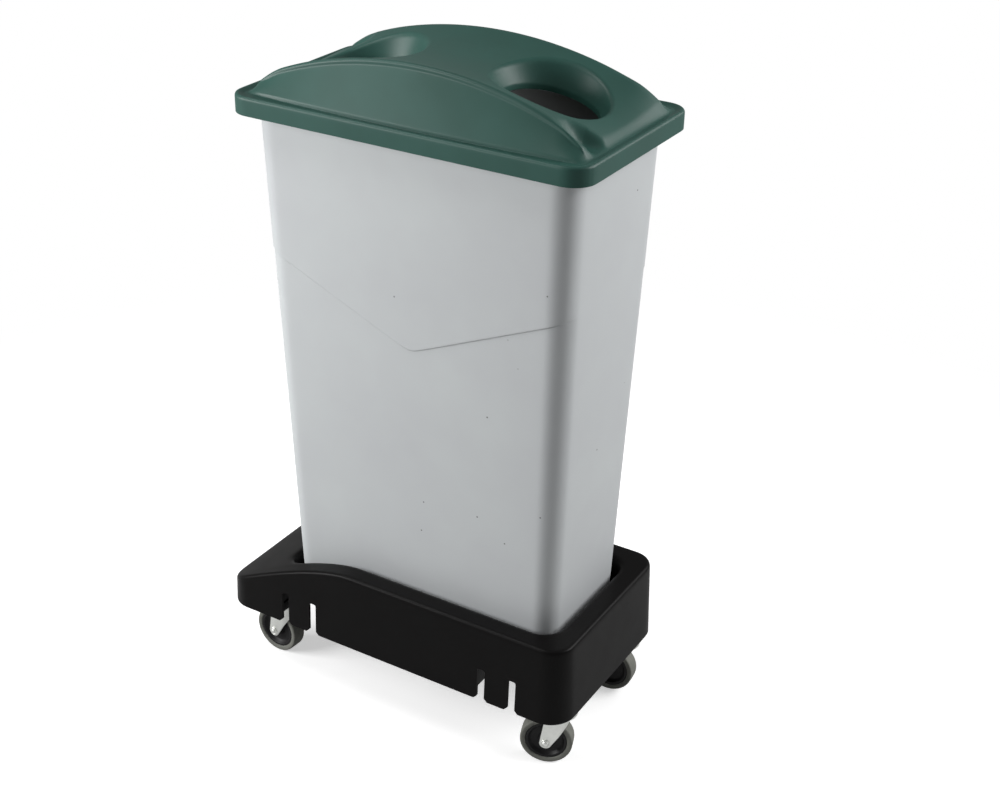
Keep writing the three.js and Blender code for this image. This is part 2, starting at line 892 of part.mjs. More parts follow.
// The mounting plate, with the pressed cone under it that the ball ring turns on.
function plateGeometry() {
  const corner = caster.plateCorner;
  const halfL = caster.plateLength / 2;
  const halfW = caster.plateWidth / 2;
  const shape = new THREE.Shape();
  shape.absarc(halfL - corner, halfW - corner, corner, 0, Math.PI / 2);
  shape.absarc(-halfL + corner, halfW - corner, corner, Math.PI / 2, Math.PI);
  shape.absarc(-halfL + corner, -halfW + corner, corner, Math.PI, 3 * Math.PI / 2);
  shape.absarc(halfL - corner, -halfW + corner, corner, 3 * Math.PI / 2, 2 * Math.PI);
  const flat = new THREE.ExtrudeGeometry(shape, {
    depth: caster.plateThickness,
    bevelEnabled: false,
    curveSegments: steps.arc,
  });
  const bottom = casterHeight - caster.plateThickness;
  flat.translate(0, 0, bottom);
  const ringInner = (raceRing.diameter - raceRing.thickness) / 2;
  const coneRadius = ringInner * Math.cos(Math.PI / steps.race) - play;
  const cone = revolve([
    [0, raceZ],
    [coneRadius, raceZ],
    [coneRadius, raceZ + raceRing.thickness / 2 + play],
    [coneRadius + raceRing.coneFlare, bottom],
    [coneRadius + raceRing.coneFlare, bottom + rooted],
    [0, bottom + rooted],
  ], steps.crown);
  const bore = bar(kingpin.diameter / 2 + play, raceZ - overrun, casterHeight + overrun, steps.pin);
  return geometryOf(solidOf(flat).add(solidOf(cone)).subtract(solidOf(bore)).subtract(boltHoles(0, 0)));
}

// The ring of balls in its cage.
function raceGeometry() {
  const geometry = new THREE.TorusGeometry(
    raceRing.diameter / 2,
    raceRing.thickness / 2,
    steps.raceSection,
    steps.race,
  );
  geometry.translate(0, 0, raceZ);
  return geometry;
}

// The kingpin: a round head under the crown, and a shank up into the plate.
function kingpinGeometry() {
  const under = crownBottom - play;
  const top = casterHeight - play;
  const radius = kingpin.diameter / 2;
  const headRadius = kingpin.headDiameter / 2;
  return revolve([
    [0, under - kingpin.headHeight],
    [headRadius - kingpin.headChamfer, under - kingpin.headHeight],
    [headRadius, under - kingpin.headHeight + kingpin.headChamfer],
    [headRadius, under],
    [radius, under],
    [radius, top],
    [0, top],
  ], steps.pin);
}

// The distance from a hexagon's middle to its corners, from its width across flats.
function hexRadius(width) {
  return width / Math.sqrt(3);
}

// One bolt that holds the plate: a hex head below it and a round shank up into the pad.
function boltGeometry() {
  const under = casterHeight - caster.plateThickness - play;
  const head = bar(hexRadius(boltSize.headWidth), under - boltSize.headHeight, under, steps.bolt);
  const shank = bar(boltSize.shank / 2, under - rooted, casterHeight + boltSize.grip, steps.bolt);
  return geometryOf(solidOf(head).add(solidOf(shank)));
}

// The distances from the wheel's middle to a fork leg's two faces.
const legInner = caster.treadWidth / 2 + fork.sideGap;
const legOuter = legInner + fork.thickness;

// Turns a geometry made about Z to lie along Y on the wheel's axle.
function onAxle(geometry) {
  geometry.rotateX(-Math.PI / 2);
  geometry.translate(-caster.trail, 0, caster.wheelDiameter / 2);
  return geometry;
}

// The fork's legs seen from the side: upright at the back, round at the axle, and
// raked forward up to the crown.
function legSideSolid() {
  const axleZ = caster.wheelDiameter / 2;
  const axleX = -caster.trail;
  const frontZ = crownBottom - fork.legFrontDrop;
  const rake = Math.atan2(frontZ - axleZ, legOuter - axleX);
  const side = new THREE.Shape();
  side.moveTo(-fork.legBack, crownTop);
  side.lineTo(axleX - fork.legEnd, axleZ);
  side.absarc(axleX, axleZ, fork.legEnd, Math.PI, 3 * Math.PI / 2 + rake, false);
  side.lineTo(legOuter, frontZ);
  side.lineTo(legOuter, crownTop);
  return solidOf(plateXZ(side, 2 * (legOuter + overrun), steps.legEnd));
}

// The fork's two legs seen from above: straight beside the wheel, and wrapped round
// the front of the crown.
function legPlanSolid() {
  const wrap = THREE.MathUtils.degToRad(fork.wrapAngle);
  const legs = [-1, 1].map((side) => {
    const start = side * Math.PI / 2;
    const end = start - side * wrap;
    const plan = new THREE.Shape();
    plan.moveTo(-fork.legBack - fork.legEnd - caster.trail, side * legOuter);
    plan.absarc(0, 0, legOuter, start, end, side > 0);
    plan.absarc(0, 0, legInner, end, start, side < 0);
    plan.lineTo(-fork.legBack - fork.legEnd - caster.trail, side * legInner);
    const geometry = new THREE.ExtrudeGeometry(plan, {
      depth: crownTop,
      bevelEnabled: false,
      curveSegments: steps.wrap,
    });
    return solidOf(geometry);
  });
  return wasm.Manifold.union(legs);
}

// The fork: a crown with the ball cup, on two pressed legs that reach back to the
// axle and keep clear of the wheel.
function forkGeometry() {
  const radius = fork.crownRadius;
  const cupTop = crownTop + fork.cupHeight;
  const crown = revolve([
    [0, crownBottom],
    [radius, crownBottom],
    [radius, cupTop],
    [radius - fork.cupWall, cupTop],
    [radius - fork.cupWall, crownTop],
    [0, crownTop],
  ], steps.crown);
  const back = boxSolid(-fork.legBack, 0, -legOuter, legOuter, crownBottom, crownTop);
  const wheelRadius = caster.wheelDiameter / 2 + fork.wheelGap;
  const wheelSide = (caster.treadWidth + fork.sideGap) / 2;
  const wheelRoom = onAxle(bar(wheelRadius, -wheelSide, wheelSide, steps.crown));
  const pinBore = bar(
    kingpin.diameter / 2 + play,
    crownBottom - overrun,
    crownTop + overrun,
    steps.bore,
  );
  const axleBore = onAxle(bar(
    axle.diameter / 2 + play,
    -legOuter - overrun,
    legOuter + overrun,
    steps.pin,
  ));
  const body = legSideSolid()
    .intersect(legPlanSolid())
    .add(back)
    .add(solidOf(crown))
    .subtract(solidOf(wheelRoom))
    .subtract(solidOf(pinBore))
    .subtract(solidOf(axleBore));
  return geometryOf(body);
}

// The axle bolt lies along Y, with its domed head on the -Y side.
function axleGeometry() {
  const face = legOuter + play;
  const radius = axle.diameter / 2;
  const headRadius = axle.headDiameter / 2;
  const tip = face + axle.nutHeight + axle.tail;
  return onAxle(revolve([
    [0, -face - axle.headHeight],
    [headRadius - axle.headRounding, -face - axle.headHeight],
    [headRadius, -face - axle.headHeight + axle.headRounding],
    [headRadius, -face],
    [radius, -face],
    [radius, tip],
    [0, tip],
  ], steps.pin));
}

// The axle's hex nut, on the +Y side.
function nutGeometry() {
  const face = legOuter + play;
  const hex = onAxle(bar(hexRadius(axle.nutWidth), face, face + axle.nutHeight, steps.bolt));
  const bore = onAxle(bar(
    axle.diameter / 2 + play,
    face - overrun,
    face + axle.nutHeight + overrun,
    steps.pin,
  ));
  return geometryOf(solidOf(hex).subtract(solidOf(bore)));
}

// A tube about the axle that the wheel turns on, held between the legs.
function bushGeometry() {
  const inner = axle.diameter / 2 + play;
  const outer = inner + axle.bushWall;
  const half = legInner - play;
  return onAxle(revolve([[inner, -half], [outer, -half], [outer, half], [inner, half]], steps.pin));
}

const hubRadius = caster.wheelDiameter / 2 - caster.treadDepth;

// The hub: a thin dished web between a boss and the flange that carries the tread.
function hubGeometry() {
  const bore = axle.diameter / 2 + axle.bushWall + 2 * play;
  const boss = hub.bossDiameter / 2;
  const inner = hubRadius - hub.flangeDepth;
  const bossHalf = legInner - 2 * play;
  const flangeHalf = hub.flangeWidth / 2;
  const web = hub.webWidth / 2;
  return onAxle(revolve([
    [bore, -bossHalf],
    [boss, -bossHalf],
    [boss, -web],
    [inner - hub.flangeSlope, -web],
    [inner, -flangeHalf],
    [hubRadius, -flangeHalf],
    [hubRadius, flangeHalf],
    [inner, flangeHalf],
    [inner - hub.flangeSlope, web],
    [boss, web],
    [boss, bossHalf],
    [bore, bossHalf],
  ], steps.wheel));
}

// The tread: a tyre with rounded shoulders around the hub.
function treadGeometry() {
  const radius = caster.wheelDiameter / 2;
  const inner = hubRadius + play;
  const half = caster.treadWidth / 2;
  const corner = caster.treadCorner;
  const soft = corner * roundShare;
  return onAxle(revolve([
    [inner, -hub.flangeWidth / 2],
    [radius - corner, -half],
    [radius - soft, -half + soft],
    [radius, -half + corner],
    [radius, half - corner],
    [radius - soft, half - soft],
    [radius - corner, half],
    [inner, hub.flangeWidth / 2],
  ], steps.wheel));
}

// One caster: the plate and its bolts stand square to the trolley, and the rest is
// turned about the kingpin to its resting angle.
function buildCaster({ name, x, y, angle }) {
  const fixed = new THREE.Group();
  fixed.position.set(x, y, 0);
  root.add(fixed);
  addPiece(fixed, `caster_${name}_plate`, plateGeometry(), finishes.zinc);
  addPiece(fixed, `caster_${name}_kingpin`, kingpinGeometry(), finishes.zinc);
  boltPlaces().forEach(([dx, dy], i) => {
    const bolt = addPiece(fixed, `caster_${name}_bolt_${i + 1}`, boltGeometry(), finishes.zinc);
    bolt.position.set(dx, dy, 0);
  });
  const turned = new THREE.Group();
  turned.position.set(x, y, 0);
  turned.rotation.z = THREE.MathUtils.degToRad(angle);
  root.add(turned);
  addPiece(turned, `caster_${name}_ball_race`, raceGeometry(), finishes.zinc);
  addPiece(turned, `caster_${name}_fork`, forkGeometry(), finishes.zinc);
  addPiece(turned, `caster_${name}_axle_bolt`, axleGeometry(), finishes.zinc);
  addPiece(turned, `caster_${name}_axle_nut`, nutGeometry(), finishes.zinc);
  addPiece(turned, `caster_${name}_bush`, bushGeometry(), finishes.bush);
  addPiece(turned, `caster_${name}_hub`, hubGeometry(), finishes.hub);
  addPiece(turned, `caster_${name}_tread`, treadGeometry(), finishes.tread);
}

buildContainer();
buildLid();
buildDolly();
casterPlaces().forEach(buildCaster);

export default root;
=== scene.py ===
import math

import bmesh
import bpy
from mathutils import Matrix, Vector


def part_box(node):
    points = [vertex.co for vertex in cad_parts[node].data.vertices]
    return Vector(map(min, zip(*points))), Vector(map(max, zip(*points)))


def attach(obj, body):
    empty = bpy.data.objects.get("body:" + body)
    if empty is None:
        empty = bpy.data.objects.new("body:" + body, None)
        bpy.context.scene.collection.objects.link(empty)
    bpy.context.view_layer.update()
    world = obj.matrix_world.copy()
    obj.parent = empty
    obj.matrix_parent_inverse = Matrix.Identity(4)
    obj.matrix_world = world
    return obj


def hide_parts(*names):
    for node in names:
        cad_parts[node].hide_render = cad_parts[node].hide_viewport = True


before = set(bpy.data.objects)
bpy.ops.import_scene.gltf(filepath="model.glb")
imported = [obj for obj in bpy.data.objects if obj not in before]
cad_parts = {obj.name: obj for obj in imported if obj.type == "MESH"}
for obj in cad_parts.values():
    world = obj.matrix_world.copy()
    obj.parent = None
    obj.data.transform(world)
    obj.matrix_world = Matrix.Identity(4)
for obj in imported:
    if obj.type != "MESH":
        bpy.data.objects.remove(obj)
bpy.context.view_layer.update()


# The trolley tub: one black polypropylene moulding, a hollow rim round a pocket for
# the container. Its rear end is low, so that the container slides on and off, and its
# skirt is notched at the foot to link trolleys in a row.
mm = 0.001


def srgb(hexadecimal):
    """The linear colour of an sRGB hex value."""
    channels = []
    for start in (0, 2, 4):
        value = int(hexadecimal[start:start + 2], 16) / 255
        channels.append(value / 12.92 if value <= 0.04045 else ((value + 0.055) / 1.055) ** 2.4)
    return (*channels, 1.0)


def add_node(tree, kind, inputs, **settings):
    """A node with its settings, and its inputs set to values or linked to outputs."""
    node = tree.nodes.new("ShaderNode" + kind)
    for name, value in settings.items():
        setattr(node, name, value)
    for name, value in inputs.items():
        if isinstance(value, bpy.types.NodeSocket):
            tree.links.new(value, node.inputs[name])
        else:
            node.inputs[name].default_value = value
    return node


def new_material(name):
    """A node material, with its tree and its shader."""
    material = bpy.data.materials.new(name)
    material.use_nodes = True
    return material, material.node_tree, material.node_tree.nodes["Principled BSDF"]


def mapped(tree, value, low, high, low_result=0.0, high_result=1.0):
    """A value that goes from one result to another between two limits."""
    return add_node(tree, "MapRange", {
        "Value": value, "From Min": low, "From Max": high,
        "To Min": low_result, "To Max": high_result,
    }).outputs["Result"]


def mixed(tree, share, first, second):
    """A colour that lies a share of the way between two colours."""
    inputs = {"Factor": share, "A": first, "B": second}
    return add_node(tree, "Mix", inputs, data_type="RGBA").outputs[2]


def clouded(
    name, colour, shade, roughness, grain_mm, grain_depth_mm, cloud_mm, ior=1.5, specular=0.5,
    metallic=0.0, gloss_drift=0.03, cloud_limits=(0.35, 0.65), cloud_detail=3.0,
    cloud_roughness=0.55, grain_detail=2.0,
):
    """A material with a fine grain, and slow drifts of tone and gloss where it has cooled
    and been handled."""
    material, tree, shader = new_material(name)
    place = add_node(tree, "TexCoord", {}).outputs["Object"]
    cloud = add_node(tree, "TexNoise", {
        "Vector": place, "Scale": 1 / (cloud_mm * mm),
        "Detail": cloud_detail, "Roughness": cloud_roughness,
    }).outputs["Fac"]
    tone = mixed(tree, mapped(tree, cloud, *cloud_limits), srgb(shade), srgb(colour))
    gloss = mapped(tree, cloud, 0.3, 0.7, roughness - gloss_drift, roughness + gloss_drift)
    grain = add_node(tree, "TexNoise", {
        "Vector": place, "Scale": 1 / (grain_mm * mm), "Detail": grain_detail,
    }).outputs["Fac"]
    bump = add_node(tree, "Bump", {
        "Height": grain, "Strength": 1.0, "Distance": grain_depth_mm * mm,
    }).outputs["Normal"]
    for socket, output in (("Base Color", tone), ("Roughness", gloss), ("Normal", bump)):
        tree.links.new(output, shader.inputs[socket])
    for socket, value in (("IOR", ior), ("Specular IOR Level", specular), ("Metallic", metallic)):
        shader.inputs[socket].default_value = value
    return material


def outline(length, width, radius, cuts, middle=0.0):
    """The corners of a rounded rectangle, counter-clockwise from the front right, as
    (x, y, outward x, outward y). cuts are the counts along a short side, along a long
    side and round a quarter."""
    short_cuts, long_cuts, corner_cuts = cuts
    half_length = length / 2 - radius
    half_width = width / 2 - radius
    starts = [(1, -1, short_cuts), (1, 1, long_cuts), (-1, 1, short_cuts), (-1, -1, long_cuts)]
    places = []
    for facing, (sx, sy, count) in enumerate(starts):
        ex, ey, _ = starts[(facing + 1) % 4]
        turn = facing * math.pi / 2
        nx, ny = round(math.cos(turn)), round(math.sin(turn))
        for i in range(count + 1):
            x = (sx + (ex - sx) * i / count) * half_length
            y = (sy + (ey - sy) * i / count) * half_width
            places.append((middle + x + nx * radius, y + ny * radius, nx, ny))
        for i in range(1, corner_cuts):
            angle = turn + i / corner_cuts * math.pi / 2
            nx, ny = math.cos(angle), math.sin(angle)
            x, y = ex * half_length + nx * radius, ey * half_width + ny * radius
            places.append((middle + x, y, nx, ny))
    return places


def first_ring(bm, places):
    """A circle of corners laid out on a closed row of places."""
    ring = bmesh.ops.create_circle(bm, segments=len(places), radius=1.0)["verts"]
    for vert, place in zip(ring, places):
        vert.co = place
    return ring


def extruded(bm, row, places, closed=True):
    """Extrudes a row of corners once and lays the new row on its places."""
    pairs = zip(row, row[1:] + row[:1]) if closed else zip(row, row[1:])
    edges = [bm.edges.get(pair) for pair in pairs]
    made = bmesh.ops.extrude_edge_only(bm, edges=edges)["geom"]
    fresh = {item for item in made if isinstance(item, bmesh.types.BMVert)}
    moved = []
    for vert, place in zip(row, places):
        new = next(e.other_vert(vert) for e in vert.link_edges if e.other_vert(vert) in fresh)
        new.co = place
        moved.append(new)
    return moved


def lofted(bm, rows, ring=None):
    """Joins closed rows of places with faces, one after another, from a ring that the mesh
    has or else from a new one on the first row. Returns the last ring."""
    rows = list(rows)
    if ring is None:
        ring = first_ring(bm, rows.pop(0))
    for places in rows:
        ring = extruded(bm, ring, places)
    return ring


def faced(bm, direction):
    """Makes the faces of an open sheet agree. The one farthest along the direction
    faces that way."""
    bmesh.ops.recalc_face_normals(bm, faces=bm.faces)
    farthest = max(bm.faces, key=lambda face: face.calc_center_median().dot(direction))
    if farthest.normal.dot(direction) < 0:
        bmesh.ops.reverse_faces(bm, faces=bm.faces)


def finished(bm, name, body, slot_name, material, replaced=()):
    """A finished piece from a bmesh in millimetres. It rides on its body and stands for
    the CAD nodes that it replaces."""
    bmesh.ops.scale(bm, vec=(mm, mm, mm), verts=bm.verts)
    mesh = bpy.data.meshes.new(name)
    bm.to_mesh(mesh)
    bm.free()
    for polygon in mesh.polygons:
        polygon.use_smooth = True
    mesh.materials.append(material)
    piece = bpy.data.objects.new(name, mesh)
    bpy.context.scene.collection.objects.link(piece)
    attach(piece, body)
    if replaced:
        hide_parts(*replaced)
    return piece


def add_modifier(piece, kind, settings):
    """A modifier of one kind with its settings."""
    modifier = piece.modifiers.new(kind.title(), kind)
    for name, value in settings.items():
        setattr(modifier, name, value)
    return modifier


def add_shell(piece, thickness, edge_width):
    """Subdivides a sheet, gives it a wall on its inner side and softens its rims."""
    add_modifier(piece, "SUBSURF", {
        "levels": 1, "render_levels": 1, "boundary_smooth": "PRESERVE_CORNERS",
    })
    add_modifier(piece, "SOLIDIFY", {
        "thickness": thickness * mm, "offset": -1.0, "use_even_offset": False,
    })
    add_modifier(piece, "BEVEL", {
        "width": edge_width * mm, "segments": 2, "limit_method": "ANGLE",
        "angle_limit": math.radians(50), "harden_normals": False,
    })
    add_modifier(piece, "WEIGHTED_NORMAL", {"keep_sharp": False, "weight": 60})


def box_mm(node):
    """A CAD node's lowest and highest corner, in millimetres."""
    low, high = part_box(node)
    return low / mm, high / mm


tub_low, tub_high = box_mm("dolly_base")
container_low, container_high = box_mm("container_body")
bin_x = (container_low.x + container_high.x) / 2

tub_length = tub_high.x - tub_low.x
tub_width = tub_high.y - tub_low.y
tub_wall = 4.0
tub_radius = 38.0
tub_lean = 4.5
tub_edge = 4.5
tub_lip = 7.0
deck_gap = 0.3
deck_top = container_low.z - deck_gap
mouth_length = 450.5
mouth_width = 218.8
mouth_radius = 32.0
pocket_length = 429.0
pocket_width = 197.0
pocket_radius = 29.0
pocket_corner = 5.0
ramp_foot = 9.5
crest_distance = 225.0
crest_share = 0.733
tub_cuts = (14, 60, 10)
tub_edge_width = 0.8
skirt_room = 60.0
round_share = 1 - math.sqrt(0.5)

notch_width = 12.0
notch_height = 51.0
notch_corner = 4.0
notch_chamfer = 5.0
notch_spacing = 49.0
notch_rear = 136.0
notch_front = 103.5
notch_pairs = (tub_low.x + notch_rear, tub_high.x - notch_front)
notch_middles = [
    pair_middle + side * notch_spacing / 2 for pair_middle in notch_pairs for side in (-1, 1)
]


def tub_top(x):
    """The height of the tub's upper edge, which falls in a soft curve to the rear."""
    distance = x - tub_low.x
    low = deck_top + ramp_foot
    if distance <= 0:
        return low
    if distance >= crest_distance:
        return tub_high.z
    control = crest_distance * crest_share
    bend = crest_distance - 2 * control
    t = (math.sqrt(control * control + bend * distance) - control) / bend
    return low + (tub_high.z - low) * (2 * t - t * t)


def notch_snapped(x, ny):
    """Moves a corner of the skirt's long side onto the middle or a side of a link notch."""
    pitch = (tub_length - 2 * tub_radius) / tub_cuts[1]
    for notch in notch_middles:
        steps = round(x / pitch) - round(notch / pitch)
        if abs(ny) > 0.99 and abs(steps) <= 1:
            return notch + steps * notch_width / 2
    return x


def skirt_ring(inset, height):
    """A ring of the skirt and rim, with a height worked out for each place along it. The
    skirt leans in as it rises."""
    ring = []
    for x, y, nx, ny in outline(tub_length, tub_width, tub_radius, tub_cuts):
        x = notch_snapped(x, ny)
        rise = height(x) - tub_low.z
        lean = tub_lean * min(1.0, max(0.0, rise / (tub_high.z - tub_edge - tub_low.z)))
        x -= nx * (lean + inset)
        ring.append(Vector((x, y - ny * (lean + inset), height(x))))
    return ring


def mouth_ring(outset, drop):
    """A ring of the pocket's mouth, at a drop below the tub's upper edge."""
    places = outline(
        mouth_length + 2 * outset, mouth_width + 2 * outset, mouth_radius + outset, tub_cuts, bin_x,
    )
    return [Vector((x, y, tub_top(x) - drop)) for x, y, _, _ in places]


def pocket_ring(inset, height):
    """A level ring of the pocket's floor."""
    places = outline(
        pocket_length - 2 * inset, pocket_width - 2 * inset, pocket_radius - inset, tub_cuts, bin_x,
    )
    return [Vector((x, y, height)) for x, y, _, _ in places]


def blended(first, second, share):
    """A row of places that lies a share of the way between two rows."""
    return [a.lerp(b, share) for a, b in zip(first, second)]


def skirt_row(rise):
    """Heights up the skirt. Where the rear is low, the rows are drawn together."""
    def height(x):
        room = tub_top(x) - tub_edge - tub_low.z
        return tub_low.z + rise * min(1.0, room / skirt_room)
    return height


notch_rows = [0.0, notch_chamfer, notch_chamfer + notch_corner, notch_height / 2]
notch_rows += [notch_height - 2 * notch_corner, notch_height - notch_corner, notch_height]
notch_rings = [skirt_ring(0.0, skirt_row(rise)) for rise in notch_rows]
soft_edge = tub_edge * round_share
soft_lip = tub_lip * round_share
soft_pocket = pocket_corner * round_share
rim_foot = skirt_ring(0.0, lambda x: tub_top(x) - tub_edge)
rim_outer = skirt_ring(tub_edge, tub_top)
rim_inner = mouth_ring(tub_lip, 0.0)
across = [blended(rim_outer, rim_inner, share) for share in (0.12, 0.5, 0.88)]
lip_foot = mouth_ring(0.0, tub_lip)
pocket_foot = pocket_ring(0.0, deck_top + pocket_corner)
bm = bmesh.new()
ring = lofted(bm, [
    *notch_rings,
    *(blended(notch_rings[-1], rim_foot, share) for share in (0.3, 0.65, 0.9, 1.0)),
    skirt_ring(soft_edge, lambda x: tub_top(x) - soft_edge),
    rim_outer,
    *([Vector((p.x, p.y, tub_top(p.x))) for p in row] for row in across),
    rim_inner,
    mouth_ring(soft_lip, soft_lip),
    lip_foot,
    *(blended(lip_foot, pocket_foot, share) for share in (0.15, 0.5, 0.85, 1.0)),
    pocket_ring(soft_pocket, deck_top + soft_pocket),
    *(pocket_ring(inset, deck_top) for inset in (pocket_corner, 15.0, 28.0)),
])
bmesh.ops.contextual_create(bm, geom=ring)
faced(bm, Vector((0, 1, 0)))

notch_faces = []
for face in bm.faces:
    middle = face.calc_center_median()
    beside = any(abs(middle.x - m) < notch_width / 2 for m in notch_middles)
    on_skirt = abs(middle.y) > tub_high.y - tub_lean and middle.z < tub_low.z + notch_height
    if beside and on_skirt:
        notch_faces.append(face)
bmesh.ops.delete(bm, geom=notch_faces, context="FACES")
crease = bm.verts.layers.float.new("crease_vert")
for vert in bm.verts:
    for notch in notch_middles:
        aside = vert.co.x - notch
        rise = vert.co.z - tub_low.z
        at_side = abs(abs(aside) - notch_width / 2) < 0.1 and abs(vert.co.y) > tub_high.y - tub_lean
        if at_side and rise < notch_chamfer + 0.1:
            vert[crease] = 1.0
            if rise < 0.1:
                vert.co.x += math.copysign(notch_chamfer, aside)
            break

# Black polypropylene moulded in a lightly grained tool: satin, with broad soft lights
# along its rounded edges.
tub_plastic = clouded(
    "black_polypropylene_moulded", "0a0909", "080707", roughness=0.38, ior=1.49, specular=0.1,
    grain_mm=1.6, grain_depth_mm=0.02, cloud_mm=70.0,
)
tub = finished(bm, "trolley_tub", "dolly", "dolly_plastic", tub_plastic, ["dolly_base"])
add_shell(tub, tub_wall, tub_edge_width)


# The tub's underside carries four solid pads that the caster plates bolt to, and
# webs from the pocket to the skirt beside the link notches. All are part of the same
# black moulding.
pad_rise = 8.3
pad_bottom = tub_low.z + pad_rise
pad_reach_x = 24.0
pad_reach_y = 32.0
web_thickness = 3.0
deck_rib_height = 8.0
web_pitch = notch_spacing / 2 + notch_width + web_thickness
web_top_gap = 6.0
pad_rounding = 0.8
rooted = 1.0
deck_underside = deck_top - tub_wall
corners = ["front_right", "front_left", "rear_right", "rear_left"]


def middle_of(node):
    """The middle of a CAD node's box, in millimetres."""
    low, high = box_mm(node)
    return (low + high) / 2


def block(bm, low, high):
    """A block between two corners. Returns its corners."""
    made = bmesh.ops.create_cube(bm, size=1.0)["verts"]
    bmesh.ops.scale(bm, vec=high - low, verts=made)
    bmesh.ops.translate(bm, vec=(low + high) / 2, verts=made)
    return made


def softened(bm, width, segments, least_degrees=30):
    """Rounds every edge that turns by more than the least angle."""
    least = math.radians(least_degrees)
    edges = [e for e in bm.edges if len(e.link_faces) == 2 and e.calc_face_angle() > least]
    bmesh.ops.bevel(
        bm, geom=edges, offset=width, offset_type="OFFSET", affect="EDGES",
        segments=segments, profile=0.5, material=-1, clamp_overlap=True,
    )


bm = bmesh.new()
for corner in corners:
    pin = middle_of(f"caster_{corner}_kingpin")
    side = math.copysign(1.0, pin.y)
    inner_y = abs(pin.y) - pad_reach_y
    outer_y = tub_high.y - tub_wall / 2
    outer_x = tub_high.x - tub_wall / 2 if pin.x > 0 else pin.x + pad_reach_x
    low = Vector((pin.x - pad_reach_x, min(side * inner_y, side * outer_y), pad_bottom))
    high = Vector((outer_x, max(side * inner_y, side * outer_y), deck_underside + rooted))
    made = block(bm, low, high)
    if pin.x > 0:
        upright = [
            edge for edge in {edge for vert in made for edge in vert.link_edges}
            if all(v.co.x > outer_x - 1 and side * v.co.y > outer_y - 1 for v in edge.verts)
        ]
        bmesh.ops.bevel(
            bm, geom=upright, offset=tub_radius - tub_wall / 2, offset_type="OFFSET", affect="EDGES",
            segments=10, profile=0.5, material=-1,
        )
for pair_middle in notch_pairs:
    for web_x in (pair_middle - web_pitch, pair_middle + web_pitch):
        rib_low = Vector((web_x - web_thickness / 2, -pocket_width / 2, deck_underside - deck_rib_height))
        rib_high = Vector((web_x + web_thickness / 2, pocket_width / 2, deck_underside + rooted))
        block(bm, rib_low, rib_high)
        for side in (-1, 1):
            near = side * (pocket_width / 2 + tub_wall / 2)
            far = side * (tub_high.y - tub_lean - tub_wall / 2)
            top = min(tub_top(web_x - web_thickness), tub_top(web_x)) - tub_wall
            low = Vector((web_x - web_thickness / 2, min(near, far), pad_bottom))
            high = Vector((web_x + web_thickness / 2, max(near, far), top))
            lean = (mouth_width - pocket_width) / 2 + web_top_gap
            for vert in block(bm, low, high):
                if vert.co.z > top - 1 and abs(vert.co.y - near) < 1:
                    vert.co.y += side * lean
softened(bm, pad_rounding, 2)
finished(bm, "trolley_pads_and_webs", "dolly", "dolly_plastic", tub_plastic)


# The container: a tapered light grey polyethylene tub with a rolled rim. The upper
# part of each long side stands just proud of the lower, along a shallow V. Its foot
# is a narrow ring that sits on the trolley's deck.
wall_thickness = 2.6
container_height = container_high.z - container_low.z
base_length = 427.0
base_width = 195.0
base_radius = 28.0
rim_length = container_high.x - container_low.x
rim_width = container_high.y - container_low.y
rim_radius = 27.0
rim_flange = 17.8
rim_drop = 16.0
rim_fillet = 3.0
top_radius = 33.0
foot_height = 4.0
foot_width = 7.0
foot_radius = 6.0
floor_margin = 40.0
step_height = 462.0
step_rise = 100.0
step_proud = 1.5
step_band = 1.4
step_rounding = 7.0
step_facing_shares = (0.1, 0.8)
container_cuts = (12, 46, 10)
container_edge_width = 0.7


def smooth_share(value, low, high):
    """A smooth rise from 0 to 1 between two limits."""
    t = min(1.0, max(0.0, (value - low) / (high - low)))
    return t * t * (3 - 2 * t)


def step_at(x):
    """The height of the step's V at one place along the container."""
    slope = step_rise / (base_length / 2)
    return step_height + slope * (math.hypot(x - bin_x, step_rounding) - step_rounding)


def wall_ring(height, outset=0.0, proud_share=0.0):
    """A ring of the tapered wall. The height may change along the container."""
    lows = outline(base_length, base_width, base_radius, container_cuts, bin_x)
    highs = outline(
        rim_length - 2 * rim_flange, rim_width - 2 * rim_flange, top_radius, container_cuts, bin_x,
    )
    ring = []
    for (x0, y0, nx, ny), (x1, y1, _, _) in zip(lows, highs):
        rise = height(x0) if callable(height) else height
        share = rise / container_height
        out = outset + proud_share * step_proud * smooth_share(abs(ny), *step_facing_shares)
        ring.append(Vector((
            x0 + (x1 - x0) * share + nx * out,
            y0 + (y1 - y0) * share + ny * out,
            container_low.z + rise,
        )))
    return ring


def rim_ring(inset, drop):
    """A ring of the rolled rim, at a drop below its top."""
    places = outline(
        rim_length - 2 * inset, rim_width - 2 * inset, rim_radius - inset, container_cuts, bin_x,
    )
    return [Vector((x, y, container_high.z - drop)) for x, y, _, _ in places]


